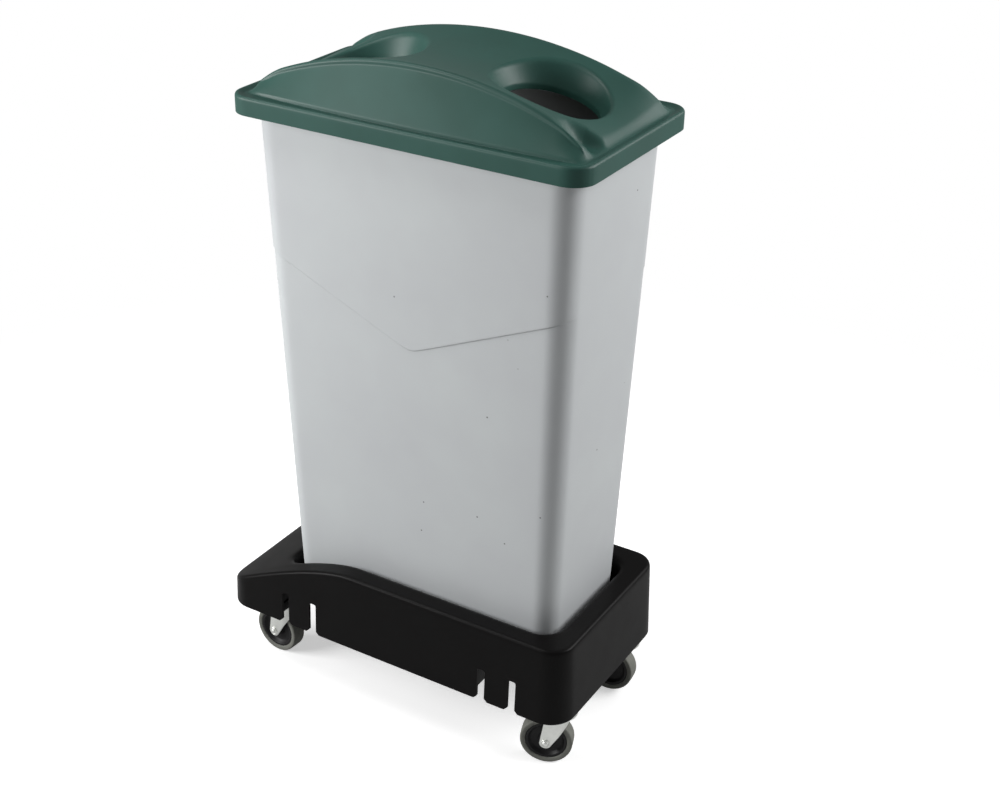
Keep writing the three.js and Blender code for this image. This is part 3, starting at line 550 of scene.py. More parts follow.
foot_inset = foot_width + foot_radius
soft_foot = foot_radius * round_share
soft_fillet = rim_fillet * round_share
flange_rise = container_height - wall_thickness
flange_root = wall_ring(flange_rise, rim_fillet, 1.0)
flange_edge = rim_ring(wall_thickness + 1.0, wall_thickness)
bm = bmesh.new()
ring = first_ring(bm, wall_ring(foot_height, -foot_inset - floor_margin))
bmesh.ops.contextual_create(bm, geom=ring)
lofted(bm, [
    wall_ring(foot_height, -foot_inset - foot_height - 1.0),
    wall_ring(foot_height, -foot_inset - foot_height),
    wall_ring(0.0, -foot_inset),
    wall_ring(0.0, -foot_radius),
    wall_ring(soft_foot, -soft_foot),
    wall_ring(foot_radius),
    *(wall_ring(lambda x: foot_radius + (step_at(x) - step_band - foot_radius) * share)
      for share in (0.04, 0.25, 0.5, 0.75, 0.96)),
    *(wall_ring(lambda x: step_at(x) + bands * step_band, 0.0, proud_share)
      for bands, proud_share in ((-1.0, 0.0), (-0.5, 0.0), (0.5, 1.0), (1.0, 1.0))),
    *(wall_ring(
        lambda x: (step_at(x) + step_band) * (1 - share) + (flange_rise - rim_fillet) * share, 0.0, 1.0,
    ) for share in (0.06, 0.35, 0.65, 0.9, 1.0)),
    wall_ring(flange_rise - soft_fillet, soft_fillet, 1.0),
    flange_root,
    blended(flange_root, flange_edge, 0.5),
    flange_edge,
    rim_ring(wall_thickness, wall_thickness + 1.0),
    *(rim_ring(wall_thickness, drop) for drop in (rim_drop * 0.5, rim_drop - 1.0, rim_drop)),
], ring)
faced(bm, Vector((0, 0, -1)))

# Light grey polyethylene from an eroded mould: matt, with a fine even grain, faint
# drifts of tone down the wall and a few dark specks of regrind in it.
container_plastic = clouded(
    "grey_polyethylene_moulded", "c8cccd", "c4c7c9", roughness=0.5, ior=1.51,
    grain_mm=1.4, grain_depth_mm=0.012, cloud_mm=160.0,
)
speck_spacing_mm = 42.0
speck_size_share = 0.022
speck_colour = "6a6c6c"
# The inner walls take this colour as painted shade.
painted_shade_colour = "808282"
tree = container_plastic.node_tree
coordinates = add_node(tree, "TexCoord", {}).outputs
speck_field = add_node(tree, "TexVoronoi", {
    "Vector": coordinates["Object"], "Scale": 1 / (speck_spacing_mm * mm), "Randomness": 1.0,
}).outputs["Distance"]
speck = mapped(tree, speck_field, speck_size_share, speck_size_share * 1.6, 1.0, 0.0)
# The inner side, whose faces look towards the tub's middle, is painted darker as painted shade, for the
# dim inside of the closed bin.
tub_middle = (bin_x * mm, 0.0, (container_low.z + container_height / 2) * mm)
from_middle = add_node(tree, "VectorMath", {
    0: coordinates["Object"], 1: tub_middle,
}, operation="SUBTRACT").outputs["Vector"]
looking_out = add_node(tree, "VectorMath", {
    0: from_middle, 1: coordinates["Normal"],
}, operation="DOT_PRODUCT").outputs["Value"]
inside = add_node(tree, "Math", {0: looking_out, 1: 0.0}, operation="LESS_THAN").outputs["Value"]
base_colour = tree.nodes["Principled BSDF"].inputs["Base Color"]
tone = base_colour.links[0].from_socket
for share, colour in ((inside, painted_shade_colour), (speck, speck_colour)):
    tone = mixed(tree, share, tone, srgb(colour))
tree.links.new(tone, base_colour)
container = finished(
    bm, "container_tub", "container", "container_plastic", container_plastic, ["container_body"],
)
add_shell(container, wall_thickness, container_edge_width)


# The lid: a thin dark green polyethylene moulding with a skirt over the container's
# rim. Its vault has a ridge down each side, a dished top with two flared chutes for
# bottles and cans, and a finger scoop at two opposite corners.
lid_low, lid_high = box_mm("lid")
lid_wall = 3.0
skirt_height = 22.0
plate_top = lid_low.z + skirt_height
vault_half = 244.0
vault_height = 72.0
vault_end_height = 17.0
end_rounding = 45.0
end_fall_start = 231.0
vault_foot = 245.2
ridge_width = 194.0
ridge_spread = 4.5
ridge_radius = 4.0
ridge_end_radius = 9.0
ridge_widening = (150.0, 225.0)
foot_width_mid = 260.0
foot_bow = 9.0
dish_depth = 15.0
dish_fade = 38.0
panel_inset = 2.4
panel_proud = 1.2
panel_border = 8.5
panel_foot = 4.5
panel_soft = 1.5
panel_fade = (3.0, 26.0)
bead_height = 2.5
bead_width = 6.0
bead_slope = 5.2
lid_edge = 3.2
lid_radius = 31.6
chute_x = 133.5
chute_radius = 62.0
chute_height = 16.3
chute_fall = 30.0
chute_collar = 7.0
chute_flare = 9.0
chute_rounding = 6.0
scoop_floor = 1.0
scoop_end_inset = 12.0
scoop_inset = 27.0
scoop_half_width = 23.0
scoop_floor_share = 0.35
scoop_tail_start = 6.0
scoop_tail = 46.0
scoop_tail_inset = 17.0
scoop_tail_half_width = 16.0
dense_from = 0.5
coarse_cuts = 4
dense_cuts = 12
patch_near = 52.0
patch_far = 214.0
end_stations = (217.0, 220.0, 223.0, 226.0, 229.0, 231.5, 234.0, 236.5, 239.0, 241.0, 243.0, 244.4)
middle_stations = (39.0, 26.0, 13.0, 0.0)
lid_edge_width = 0.7


def round_end(x):
    """A long arc whose ends fall away in a quarter of an ellipse."""
    sagitta = vault_height - vault_end_height
    radius = (vault_half ** 2 + sagitta ** 2) / (2 * sagitta)
    arc = vault_height - radius + math.sqrt(radius * radius - x * x)
    past = max(0.0, abs(x) - (vault_half - end_rounding)) / end_rounding
    return arc * math.sqrt(max(0.0, 1 - past * past))


def ridge_height(x):
    """A ridge's height above the plate. Its last stretch runs out softly on the plate."""
    if abs(x) <= end_fall_start:
        return round_end(x)
    room = vault_foot - end_fall_start
    start = round_end(end_fall_start)
    slope = (round_end(end_fall_start + 0.5) - round_end(end_fall_start - 0.5)) * room
    t = min(1.0, (abs(x) - end_fall_start) / room)
    return start * (2 * t ** 3 - 3 * t ** 2 + 1) + slope * (t ** 3 - 2 * t ** 2 + t)


def ridge_side(x):
    """A ridge's distance from the middle line."""
    return ridge_width / 2 + ridge_spread * (x / vault_half) ** 2


def scoop_share(x, y):
    """How far the finger scoop is sunk at one place, from 0 to 1. It is a pocket at the
    vault's end, with a tail that dies out along the foot of the ridge."""
    side = math.copysign(1.0, x)
    if side * y > 0:
        return 0.0
    back = vault_half - scoop_end_inset - abs(x)
    t = min(1.0, max(0.0, back / scoop_tail))
    middle = scoop_inset + (scoop_tail_inset - scoop_inset) * t
    half_width = scoop_half_width + (scoop_tail_half_width - scoop_half_width) * t
    away = abs(ridge_side(x) - abs(y) - middle) / half_width
    across = 1 - smooth_share(away, scoop_floor_share, 1.0)
    return across * (1 - smooth_share(back, scoop_tail_start, scoop_tail))


def top_height(x, y):
    """The height of the dished top above the plate, with the finger scoops sunk in it."""
    ridge = ridge_height(x)
    dish = dish_depth * min(1.0, ridge / dish_fade)
    height = ridge - dish * max(0.0, 1 - (y / ridge_side(x)) ** 2)
    return height - max(0.0, height - scoop_floor) * scoop_share(x, y)


def ridge_round(x):
    """The rounding on the inner side of a ridge's crest, which widens towards its ends."""
    wider = (ridge_end_radius - ridge_radius) * smooth_share(abs(x), *ridge_widening)
    return min(ridge_radius + wider, ridge_height(x) * 0.9)


def across_shares():
    """Shares across the dished top, closer together where the finger scoops are."""
    half = [dense_from * i / coarse_cuts for i in range(coarse_cuts)]
    half += [dense_from + (1 - dense_from) * i / dense_cuts for i in range(dense_cuts + 1)]
    return [-share for share in reversed(half[1:])] + half


def top_place(x, share):
    """A place on the dished top, a share of the way from the middle line to a ridge."""
    y = share * (ridge_side(x) - ridge_round(x))
    return Vector((x, y, top_height(x, y)))


def panel_places(x, side):
    """Places from a ridge down the leaning side panel to its foot on the plate. A steep
    border under the ridge and a low step at the foot frame the panel's face."""
    ridge = ridge_height(x)
    ridge_y = ridge_side(x)
    foot_y = foot_width_mid / 2 - foot_bow * (x / vault_half) ** 2
    rounding = ridge_round(x)
    face = Vector((foot_y - ridge_y, -ridge))
    length = face.length
    down = face.normalized()
    inward = Vector((down.y, -down.x))
    shown = smooth_share(ridge, *panel_fade)
    border = min(panel_border, length / 4)
    foot = min(panel_foot, length / 5)
    depth = panel_inset * shown
    proud = panel_proud * shown
    soft = min(rounding, border / 2)
    steps = [(soft * 0.25, soft * 0.25), (soft, 0.0)]
    steps += [(border - panel_soft, depth * 0.85), (border, depth), (border + panel_soft, depth * 0.98)]
    face_length = length - foot - border - 2 * panel_soft
    for share in (0.5, 1.0):
        along_face = border + panel_soft + max(0.0, face_length * share)
        steps.append((along_face, depth - (depth + proud) * share))
    steps += [(length - foot, -proud), (length - foot * 0.8, -proud * 0.9)]
    steps += [(length - 0.6, 0.0), (length, 0.0)]
    places = []
    for distance, inset in steps:
        distance = min(distance, length)
        place = Vector((ridge_y, ridge)) + down * distance + inward * inset
        places.append(Vector((x, side * place.x, max(place.y, 0.0))))
    return places


shares = across_shares()
side_count = len(shares) - 1
along = [patch_far + (patch_near - patch_far) * i / side_count for i in range(side_count + 1)]

square = [top_place(patch_far, share) for share in shares[:-1]]
square += [top_place(x, 1.0) for x in along[:-1]]
square += [top_place(patch_near, share) for share in reversed(shares[1:])]
square += [top_place(x, -1.0) for x in reversed(along[1:])]


def chute_ring(radius, height):
    """A round ring of the chute, with a height worked out for each place."""
    ring = []
    for i in range(len(square)):
        angle = -math.pi / 4 + 2 * math.pi * i / len(square)
        x = chute_x + radius * math.cos(angle)
        y = radius * math.sin(angle)
        ring.append(Vector((x, y, height(x, y))))
    return ring


def chute_opening(x, y):
    """The height of the chute's opening, which slopes down to the lid's end."""
    return chute_height - (x - chute_x) * chute_fall / (2 * chute_radius)


lip_radius = chute_radius + chute_flare
soft_chute = chute_rounding * round_share
opening_ring = chute_ring(chute_radius, chute_opening)
lip_bottom = chute_ring(lip_radius, lambda x, y: top_height(x, y) - chute_rounding)
lip_top = chute_ring(lip_radius + chute_rounding, top_height)
around = [blended(lip_top, square, share) for share in (0.07, 0.18, 0.32, 0.46, 0.6, 0.74, 0.87)]
bm = bmesh.new()
ring = lofted(bm, [
    *(chute_ring(chute_radius, lambda x, y: chute_opening(x, y) - chute_collar * share)
      for share in (1.0, 0.9, 0.2)),
    chute_ring(chute_radius + 0.3, lambda x, y: chute_opening(x, y) + 0.5),
    *(blended(opening_ring, lip_bottom, share) for share in (0.12, 0.5, 0.88, 1.0)),
    chute_ring(lip_radius + soft_chute, lambda x, y: top_height(x, y) - soft_chute),
    lip_top,
    *([Vector((p.x, p.y, top_height(p.x, p.y))) for p in row] for row in around),
    square,
])

far_row = ring[:side_count + 1]
left_row = ring[side_count:2 * side_count + 1]
near_row = list(reversed(ring[2 * side_count:3 * side_count + 1]))
right_row = ring[3 * side_count:] + ring[:1]
for x in (*end_stations, vault_foot):
    far_row = extruded(bm, far_row, [top_place(x, share) for share in shares], closed=False)
    left_row = [far_row[-1]] + left_row
    right_row = right_row + [far_row[0]]
for x in middle_stations:
    near_row = extruded(bm, near_row, [top_place(x, share) for share in shares], closed=False)
    left_row = left_row + [near_row[-1]]
    right_row = [near_row[0]] + right_row
for row, side in ((left_row, 1), (right_row, -1)):
    lines = [panel_places(vert.co.x, side) for vert in row]
    for step in range(len(lines[0])):
        row = extruded(bm, row, [line[step] for line in lines], closed=False)

other = bmesh.ops.duplicate(bm, geom=bm.verts[:] + bm.edges[:] + bm.faces[:])["geom"]
bmesh.ops.rotate(
    bm, cent=(0, 0, 0), matrix=Matrix.Rotation(math.pi, 3, "Z"),
    verts=[item for item in other if isinstance(item, bmesh.types.BMVert)],
)
bmesh.ops.remove_doubles(bm, verts=bm.verts, dist=0.05)

foot_ring = [max(bm.verts, key=lambda v: v.co.x * 1000 - v.co.y)]
while True:
    ahead = [
        e.other_vert(foot_ring[-1]) for e in foot_ring[-1].link_edges
        if e.is_boundary and e.other_vert(foot_ring[-1]) not in foot_ring[-2:]
    ]
    if not ahead or ahead[0] is foot_ring[0]:
        break
    foot_ring.append(max(ahead, key=lambda v: v.co.y) if len(foot_ring) == 1 else ahead[0])

lid_length = lid_high.x - lid_low.x
lid_width = lid_high.y - lid_low.y
straight_x = lid_length / 2 - lid_radius
straight_y = lid_width / 2 - lid_radius
foot_corner_y = foot_width_mid / 2 - foot_bow * (vault_foot / vault_half) ** 2
foot_corner_turn = math.atan2(foot_corner_y - straight_y, vault_foot - straight_x)


def plate_place(co, inset, height):
    """The place on the lid's outline, drawn in by an inset, that lies out from a place
    on the vault's foot."""
    on_end = abs(co.x) > vault_foot - 0.05
    if on_end and abs(co.y) <= straight_y:
        centre = Vector((math.copysign(straight_x, co.x), co.y))
        normal = Vector((math.copysign(1, co.x), 0))
    elif not on_end and abs(co.x) <= straight_x:
        centre = Vector((co.x, math.copysign(straight_y, co.y)))
        normal = Vector((0, math.copysign(1, co.y)))
    else:
        if on_end:
            turn = (abs(co.y) - straight_y) / (foot_corner_y - straight_y) * foot_corner_turn
        else:
            turn = math.pi / 2
            turn -= (abs(co.x) - straight_x) / (vault_foot - straight_x) * (turn - foot_corner_turn)
        centre = Vector((math.copysign(straight_x, co.x), math.copysign(straight_y, co.y)))
        normal = Vector((math.copysign(math.cos(turn), co.x), math.copysign(math.sin(turn), co.y)))
    place = centre + normal * (lid_radius - inset)
    return Vector((place.x, place.y, height))


feet = [vert.co.copy() for vert in foot_ring]
half_way = [co.lerp(plate_place(co, bead_width + bead_slope, 0.0), 0.5) for co in feet]
soft_lid = lid_edge * round_share
skirt_profile = [
    (bead_width + bead_slope + 0.6, 0.0),
    (bead_width + bead_slope * 0.5, bead_height * 0.5),
    (bead_width - 0.6, bead_height),
    (lid_edge + 1.0, bead_height),
    (lid_edge, bead_height),
    (soft_lid, bead_height - soft_lid),
    (0.0, bead_height - lid_edge),
    (0.0, bead_height - lid_edge - 2.0),
    (0.0, 1.5 - skirt_height),
    (0.0, -skirt_height),
]
skirt_rows = [[plate_place(co, inset, height) for co in feet] for inset, height in skirt_profile]
lofted(bm, [half_way] + skirt_rows, foot_ring)
faced(bm, Vector((0, 1, 0)))
bmesh.ops.translate(bm, vec=(bin_x, 0, plate_top), verts=bm.verts)

# Dark green polyethylene, moulded with a soft sheen: deep in the hollows, with a
# milky light where it faces the lamps.
lid_plastic = clouded(
    "green_polyethylene_moulded", "2c534b", "294e46", roughness=0.44, ior=1.51, specular=0.3,
    grain_mm=1.5, grain_depth_mm=0.012, cloud_mm=90.0,
)
lid = finished(bm, "lid_shell", "lid", "lid_plastic", lid_plastic, ["lid"])
add_shell(lid, lid_wall, lid_edge_width)


# Each caster: a bolted plate with a kingpin, a ring of balls, and a pressed fork that
# swivels under it. All of these are zinc-plated steel. The wheel is a black hub with
# a grey rubber tyre, turning on an acetal bush round the axle bolt.

# Zinc-plated steel, barrel plated over pressed sheet: bright and slightly soft, with
# faint clouds in the passivation and fine draw marks.
zinc_steel = clouded(
    "zinc_plated_steel", "dddfdb", "f1f2ee", roughness=0.48, metallic=1.0, gloss_drift=0.06,
    grain_mm=1.2, grain_depth_mm=0.01, grain_detail=3.0,
    cloud_mm=9.0, cloud_limits=(0.0, 1.0), cloud_detail=4.0, cloud_roughness=0.6,
)
# Grey thermoplastic rubber, moulded and dulled by the floor: nearly matt, with a
# mealy grain.
tyre_rubber = clouded(
    "grey_rubber_moulded", "7b7c75", "6f706a", roughness=0.72, ior=1.52,
    grain_mm=0.9, grain_depth_mm=0.05, cloud_mm=14.0,
)
# Black polypropylene with a smooth mould finish, so that the dished hub shows lights.
hub_plastic = clouded(
    "black_polypropylene_hub", "121113", "0e0d0f", roughness=0.5, ior=1.49, specular=0.3,
    grain_mm=1.2, grain_depth_mm=0.01, cloud_mm=20.0,
)
# Natural acetal: waxy off-white, turned smooth.
bush_plastic = clouded(
    "natural_acetal_turned", "d8d6cc", "d0cec3", roughness=0.4, ior=1.48,
    grain_mm=1.0, grain_depth_mm=0.005, cloud_mm=10.0,
)


def add_spun(bm, profile, steps, closed=True):
    """Spins a row of (radius, height) corners about Z, in a mesh. An open row starts and
    ends on the axis."""
    row = [bm.verts.new((radius, 0.0, height)) for radius, height in profile]
    edges = [bm.edges.new(pair) for pair in zip(row, row[1:] + row[:1] if closed else row[1:])]
    bmesh.ops.spin(
        bm, geom=row + edges, cent=(0, 0, 0), axis=(0, 0, 1), dvec=(0, 0, 0),
        angle=2 * math.pi, steps=steps, use_merge=True,
    )
    if not closed:
        bmesh.ops.remove_doubles(bm, verts=bm.verts, dist=0.001)
    bmesh.ops.recalc_face_normals(bm, faces=bm.faces)
    return bm


wheel_low, wheel_high = box_mm("caster_rear_right_tread")
wheel_radius = (wheel_high.z - wheel_low.z) / 2
trail = 18.0
tread_width = 23.0
tread_depth = 8.0
tread_crown = 0.2
play = 0.3
hub_radius = wheel_radius - tread_depth
hub_flange_width = 20.0
hub_flange_depth = 4.0
hub_web = 8.0
hub_boss = 10.5
axle_radius = 4.0
axle_head_radius = 6.5
axle_head_height = 3.4
axle_nut_width = 13.0
axle_nut_height = 6.5
axle_tail = 1.5
bush_wall = 2.0
leg_inner = tread_width / 2 + 2.6
leg_thickness = 2.6
leg_outer = leg_inner + leg_thickness
leg_end = 8.6
leg_back = 19.0
leg_front_drop = 6.0
leg_wrap = math.radians(62)
leg_crease = 0.22
leg_fold = 1.0
plate_bottom = pad_bottom - 3.0
crown_bottom = 84.0
crown_top = 87.0
crown_radius = 24.0
cup_height = 9.0
cup_wall = 3.0
race_radius = 17.5
ball_radius = 2.2
ball_count = 18
race_z = crown_top + ball_radius + play
kingpin_radius = 5.0
kingpin_head = 9.5
kingpin_head_height = 4.0
plate_corner = 10.0
plate_thickness = 3.0
bolt_radius = 2.5
bolt_head_width = 9.0
bolt_head_height = 3.5
bolt_grip = 7.0
pressed_rounding = 0.5
leg_bends = 11
plate_cuts = (2, 2, 6)
wheel_steps = 64
crown_steps = 48
pin_steps = 32
bolt_steps = 24


def on_axle(bm):
    """Turns a shape made about Z to lie on the wheel's axle."""
    bmesh.ops.rotate(bm, cent=(0, 0, 0), matrix=Matrix.Rotation(-math.pi / 2, 3, "X"), verts=bm.verts)
    bmesh.ops.translate(bm, vec=(-trail, 0, wheel_radius), verts=bm.verts)
    return bm


def tyre():
    """The tyre: flat sides, round shoulders and a slightly crowned tread with the fine
    line that the mould leaves round its middle."""
    half = tread_width / 2
    inner = hub_radius + play
    shoulder = 2.4
    profile = [(inner, -hub_flange_width / 2), (inner + 1.0, -half + 0.6)]
    for i in range(7):
        turn = i / 6 * math.pi / 2
        profile.append((
            wheel_radius - tread_crown - shoulder + shoulder * math.sin(turn),
            -half + shoulder - shoulder * math.cos(turn),
        ))
    profile += [(wheel_radius, -1.5), (wheel_radius, -0.3), (wheel_radius - 0.35, 0.0)]
    profile += [(radius, -height) for radius, height in reversed(profile[:-1])]
    return on_axle(add_spun(bmesh.new(), profile, wheel_steps))


def wheel_hub():
    """The hub: a deep dish on each side between the flange and the boss."""
    bore = axle_radius + bush_wall + 2 * play
    boss_half = leg_inner - 2 * play
    inner = hub_radius - hub_flange_depth
    flange = hub_flange_width / 2
    web = hub_web / 2
    half = [
        (bore, boss_half), (hub_boss - 0.8, boss_half), (hub_boss, boss_half - 0.8),
        (hub_boss + 0.8, web + 1.0), (hub_boss + 2.0, web), (inner - 4.5, web),
        (inner - 2.0, web + 1.2), (inner, flange - 0.8), (inner + 0.8, flange),
        (hub_radius - 0.5, flange), (hub_radius, flange - 0.5),
    ]
    profile = [(radius, -height) for radius, height in half] + list(reversed(half))
    return on_axle(add_spun(bmesh.new(), profile, wheel_steps))


def bush():
    """The bush: a plain tube that the hub turns on."""
    inner = axle_radius + play
    outer = inner + bush_wall
    half = leg_inner - play
    tube = [(inner, -half), (outer, -half), (outer, half), (inner, half)]
    bm = add_spun(bmesh.new(), tube, pin_steps)
    softened(bm, 0.3, 1)
    return on_axle(bm)


def axle_bolt():
    """The axle bolt: a domed head with a shallow ring at its foot, and a plain shank."""
    face = leg_outer + play
    tip = face + axle_nut_height + axle_tail
    profile = [(0.0, -face - axle_head_height)]
    for i in range(1, 6):
        turn = i / 5 * math.pi / 2
        profile.append((
            (axle_head_radius - 2.2) * math.sin(turn),
            -face - 1.0 - (axle_head_height - 1.0) * math.cos(turn),
        ))
    profile += [
        (axle_head_radius - 2.0, -face - 0.3), (axle_head_radius - 1.2, -face - 0.3),
        (axle_head_radius - 1.1, -face - 1.0), (axle_head_radius - 0.3, -face - 0.9),
        (axle_head_radius, -face - 0.5), (axle_head_radius, -face), (axle_radius, -face),
        (axle_radius, tip - 0.6), (axle_radius - 0.6, tip), (0.0, tip),
    ]
    return on_axle(add_spun(bmesh.new(), profile, pin_steps, closed=False))


def add_bar(bm, sides, radius, low, high):
    """Adds an upright bar to a mesh, from its count of sides and the radius to its corners."""
    made = bmesh.ops.create_cone(
        bm, cap_ends=True, segments=sides, radius1=radius, radius2=radius, depth=high - low,
    )["verts"]
    bmesh.ops.translate(bm, vec=(0, 0, (low + high) / 2), verts=made)


def axle_nut():
    """The lock nut: a hexagon with a round collar at its outer end."""
    face = leg_outer + play
    bm = bmesh.new()
    add_bar(bm, 6, axle_nut_width / math.sqrt(3), face, face + axle_nut_height - 1.8)
    softened(bm, pressed_rounding, 2)
    outer = axle_nut_width / 2 - 0.9
    top = face + axle_nut_height
    collar = [(axle_radius + 0.1, top - 2.0), (outer, top - 2.0), (outer, top - 0.7), (outer - 0.7, top)]
    collar.append((axle_radius + 0.1, top))
    return on_axle(add_spun(bm, collar, pin_steps))


def fork_leg(bm, side):
    """One leg of the fork: a pressed strip, round at the axle, raked forward to the
    crown and wrapped round the front of it."""
    axle_z = wheel_radius
    front_z = crown_bottom - leg_front_drop
    reach = leg_outer * math.sin(leg_wrap)
    rake = math.atan2(front_z - axle_z, leg_outer + trail)
    corners_xz = [(-leg_back, crown_top), (-trail - leg_end, axle_z)]
    for i in range(1, 13):
        turn = math.pi + (math.pi / 2 + rake) * i / 12
        corners_xz.append((-trail + leg_end * math.cos(turn), axle_z + leg_end * math.sin(turn)))
    foot_x, foot_z = corners_xz[-1]
    share = (reach - foot_x) / (leg_outer - foot_x)
    corners_xz += [(reach, foot_z + (front_z - foot_z) * share), (reach, crown_top)]
    verts = [bm.verts.new((x, 0.0, z)) for x, z in corners_xz]
    bm.faces.new(verts)
    for cut_x in [-leg_fold] + [reach * i / leg_bends for i in range(leg_bends)]:
        faces = {face for vert in verts for face in vert.link_faces}
        parts = [*faces, *{e for f in faces for e in f.edges}, *{v for f in faces for v in f.verts}]
        cut = bmesh.ops.bisect_plane(
            bm, geom=parts, dist=0.0001, plane_co=(cut_x, 0, 0), plane_no=(1, 0, 0),
        )["geom"]
        verts = {
            vert for item in cut
            for vert in ([item] if isinstance(item, bmesh.types.BMVert) else item.verts)
        }
    middle = leg_inner + leg_thickness / 2
    for vert in verts:
        bend = math.sqrt(max(0.0, middle ** 2 - max(0.0, vert.co.x) ** 2))
        vert.co.y = side * (bend - leg_crease * max(0.0, vert.co.x))
    return list({face for vert in verts for face in vert.link_faces})


def fork():
    """The fork: a crown with the cup for the balls, between two pressed legs."""
    bm = bmesh.new()
    for side in (-1, 1):
        faces = fork_leg(bm, side)
        bmesh.ops.recalc_face_normals(bm, faces=faces)
        if sum(f.normal.y * f.calc_area() for f in faces) * side < 0:
            bmesh.ops.reverse_faces(bm, faces=faces)
        solid = bmesh.ops.solidify(bm, geom=faces, thickness=leg_thickness)
        verts = {v for f in faces for v in f.verts} | {
            v for item in solid["geom"] if isinstance(item, bmesh.types.BMFace) for v in item.verts
        }
        bmesh.ops.translate(bm, vec=(0, side * leg_thickness / 2, 0), verts=list(verts))
    back_y = leg_outer - 0.4
    block(bm, Vector((-leg_back, -back_y, crown_bottom)), Vector((0.0, back_y, crown_top)))
    softened(bm, pressed_rounding, 2, least_degrees=40)
    bore = kingpin_radius + play
    cup_top = crown_top + cup_height
    profile = [
        (bore, crown_bottom), (crown_radius - 2.0, crown_bottom),
        (crown_radius - 0.6, crown_bottom + 0.6),
        (crown_radius, crown_bottom + 2.0), (crown_radius, cup_top - 0.5), (crown_radius - 0.5, cup_top),
        (crown_radius - cup_wall + 0.5, cup_top), (crown_radius - cup_wall, cup_top - 0.5),
        (crown_radius - cup_wall, crown_top + 1.0), (crown_radius - cup_wall - 1.0, crown_top),
        (bore, crown_top),
    ]
    return add_spun(bm, profile, crown_steps)


def ball_ring():
    """The ring of balls, in a thin pressed cage."""
    cage = [(race_radius - 0.9, race_z - 0.4), (race_radius + 0.9, race_z - 0.4)]
    cage += [(race_radius + 0.9, race_z + 0.4), (race_radius - 0.9, race_z + 0.4)]
    bm = add_spun(bmesh.new(), cage, crown_steps)
    for i in range(ball_count):
        turn = 2 * math.pi * i / ball_count
        place = Vector((race_radius * math.cos(turn), race_radius * math.sin(turn), race_z))
        bmesh.ops.create_uvsphere(
            bm, u_segments=14, v_segments=9, radius=ball_radius, matrix=Matrix.Translation(place),
        )
    return bm


def mounting_plate(node):
    """The top plate, with the pressed cone under it that the balls run on."""
    low, high = box_mm(node)
    length, width = high.x - low.x, high.y - low.y
    bm = bmesh.new()
    places = outline(length, width, plate_corner, plate_cuts)
    ring = first_ring(bm, [Vector((x, y, plate_bottom)) for x, y, _, _ in places])
    lower = bmesh.ops.contextual_create(bm, geom=ring)["faces"]
    upper = bmesh.ops.extrude_face_region(bm, geom=lower)["geom"]
    bmesh.ops.translate(
        bm, vec=(0, 0, plate_thickness), verts=[v for v in upper if isinstance(v, bmesh.types.BMVert)],
    )
    bmesh.ops.recalc_face_normals(bm, faces=bm.faces)
    softened(bm, pressed_rounding, 2)
    cone = race_radius - ball_radius - play
    profile = [
        (kingpin_radius + play, race_z), (cone - 0.6, race_z), (cone, race_z + 0.6), (cone, race_z + 2.5),
        (cone + 1.2, race_z + 5.0), (cone + 2.5, plate_bottom), (cone + 2.5, plate_bottom + 1.0),
        (kingpin_radius + play, plate_bottom + 1.0),
    ]
    return add_spun(bm, profile, crown_steps)


def kingpin():
    """The kingpin: a riveted head under the crown, and a plain shank up to the pad."""
    under = crown_bottom - play
    top = pad_bottom - play
    profile = [
        (0.0, under - kingpin_head_height), (kingpin_head - 3.5, under - kingpin_head_height + 0.2),
        (kingpin_head - 1.0, under - kingpin_head_height + 1.4), (kingpin_head, under - 1.2),
        (kingpin_head, under), (kingpin_radius, under), (kingpin_radius, top), (0.0, top),
    ]
    return add_spun(bmesh.new(), profile, pin_steps, closed=False)


def plate_bolt():
    """One plate bolt: a hexagon head on a pressed washer face, and its shank."""
    under = pad_bottom - plate_thickness - play
    bm = bmesh.new()
    add_bar(bm, 6, bolt_head_width / math.sqrt(3), under - bolt_head_height, under - 0.7)
    softened(bm, pressed_rounding, 2)
    add_bar(bm, bolt_steps, bolt_head_width / 2, under - 0.8, under)
    add_bar(bm, bolt_steps, bolt_radius, under - 0.2, pad_bottom + bolt_grip)
    return bm


def placed(bm, place, turn=0.0):
    """Turns a shape about Z and moves it to its place in plan."""
    bmesh.ops.rotate(bm, cent=(0, 0, 0), matrix=Matrix.Rotation(turn, 3, "Z"), verts=bm.verts)
    bmesh.ops.translate(bm, vec=(place.x, place.y, 0), verts=bm.verts)
    return bm


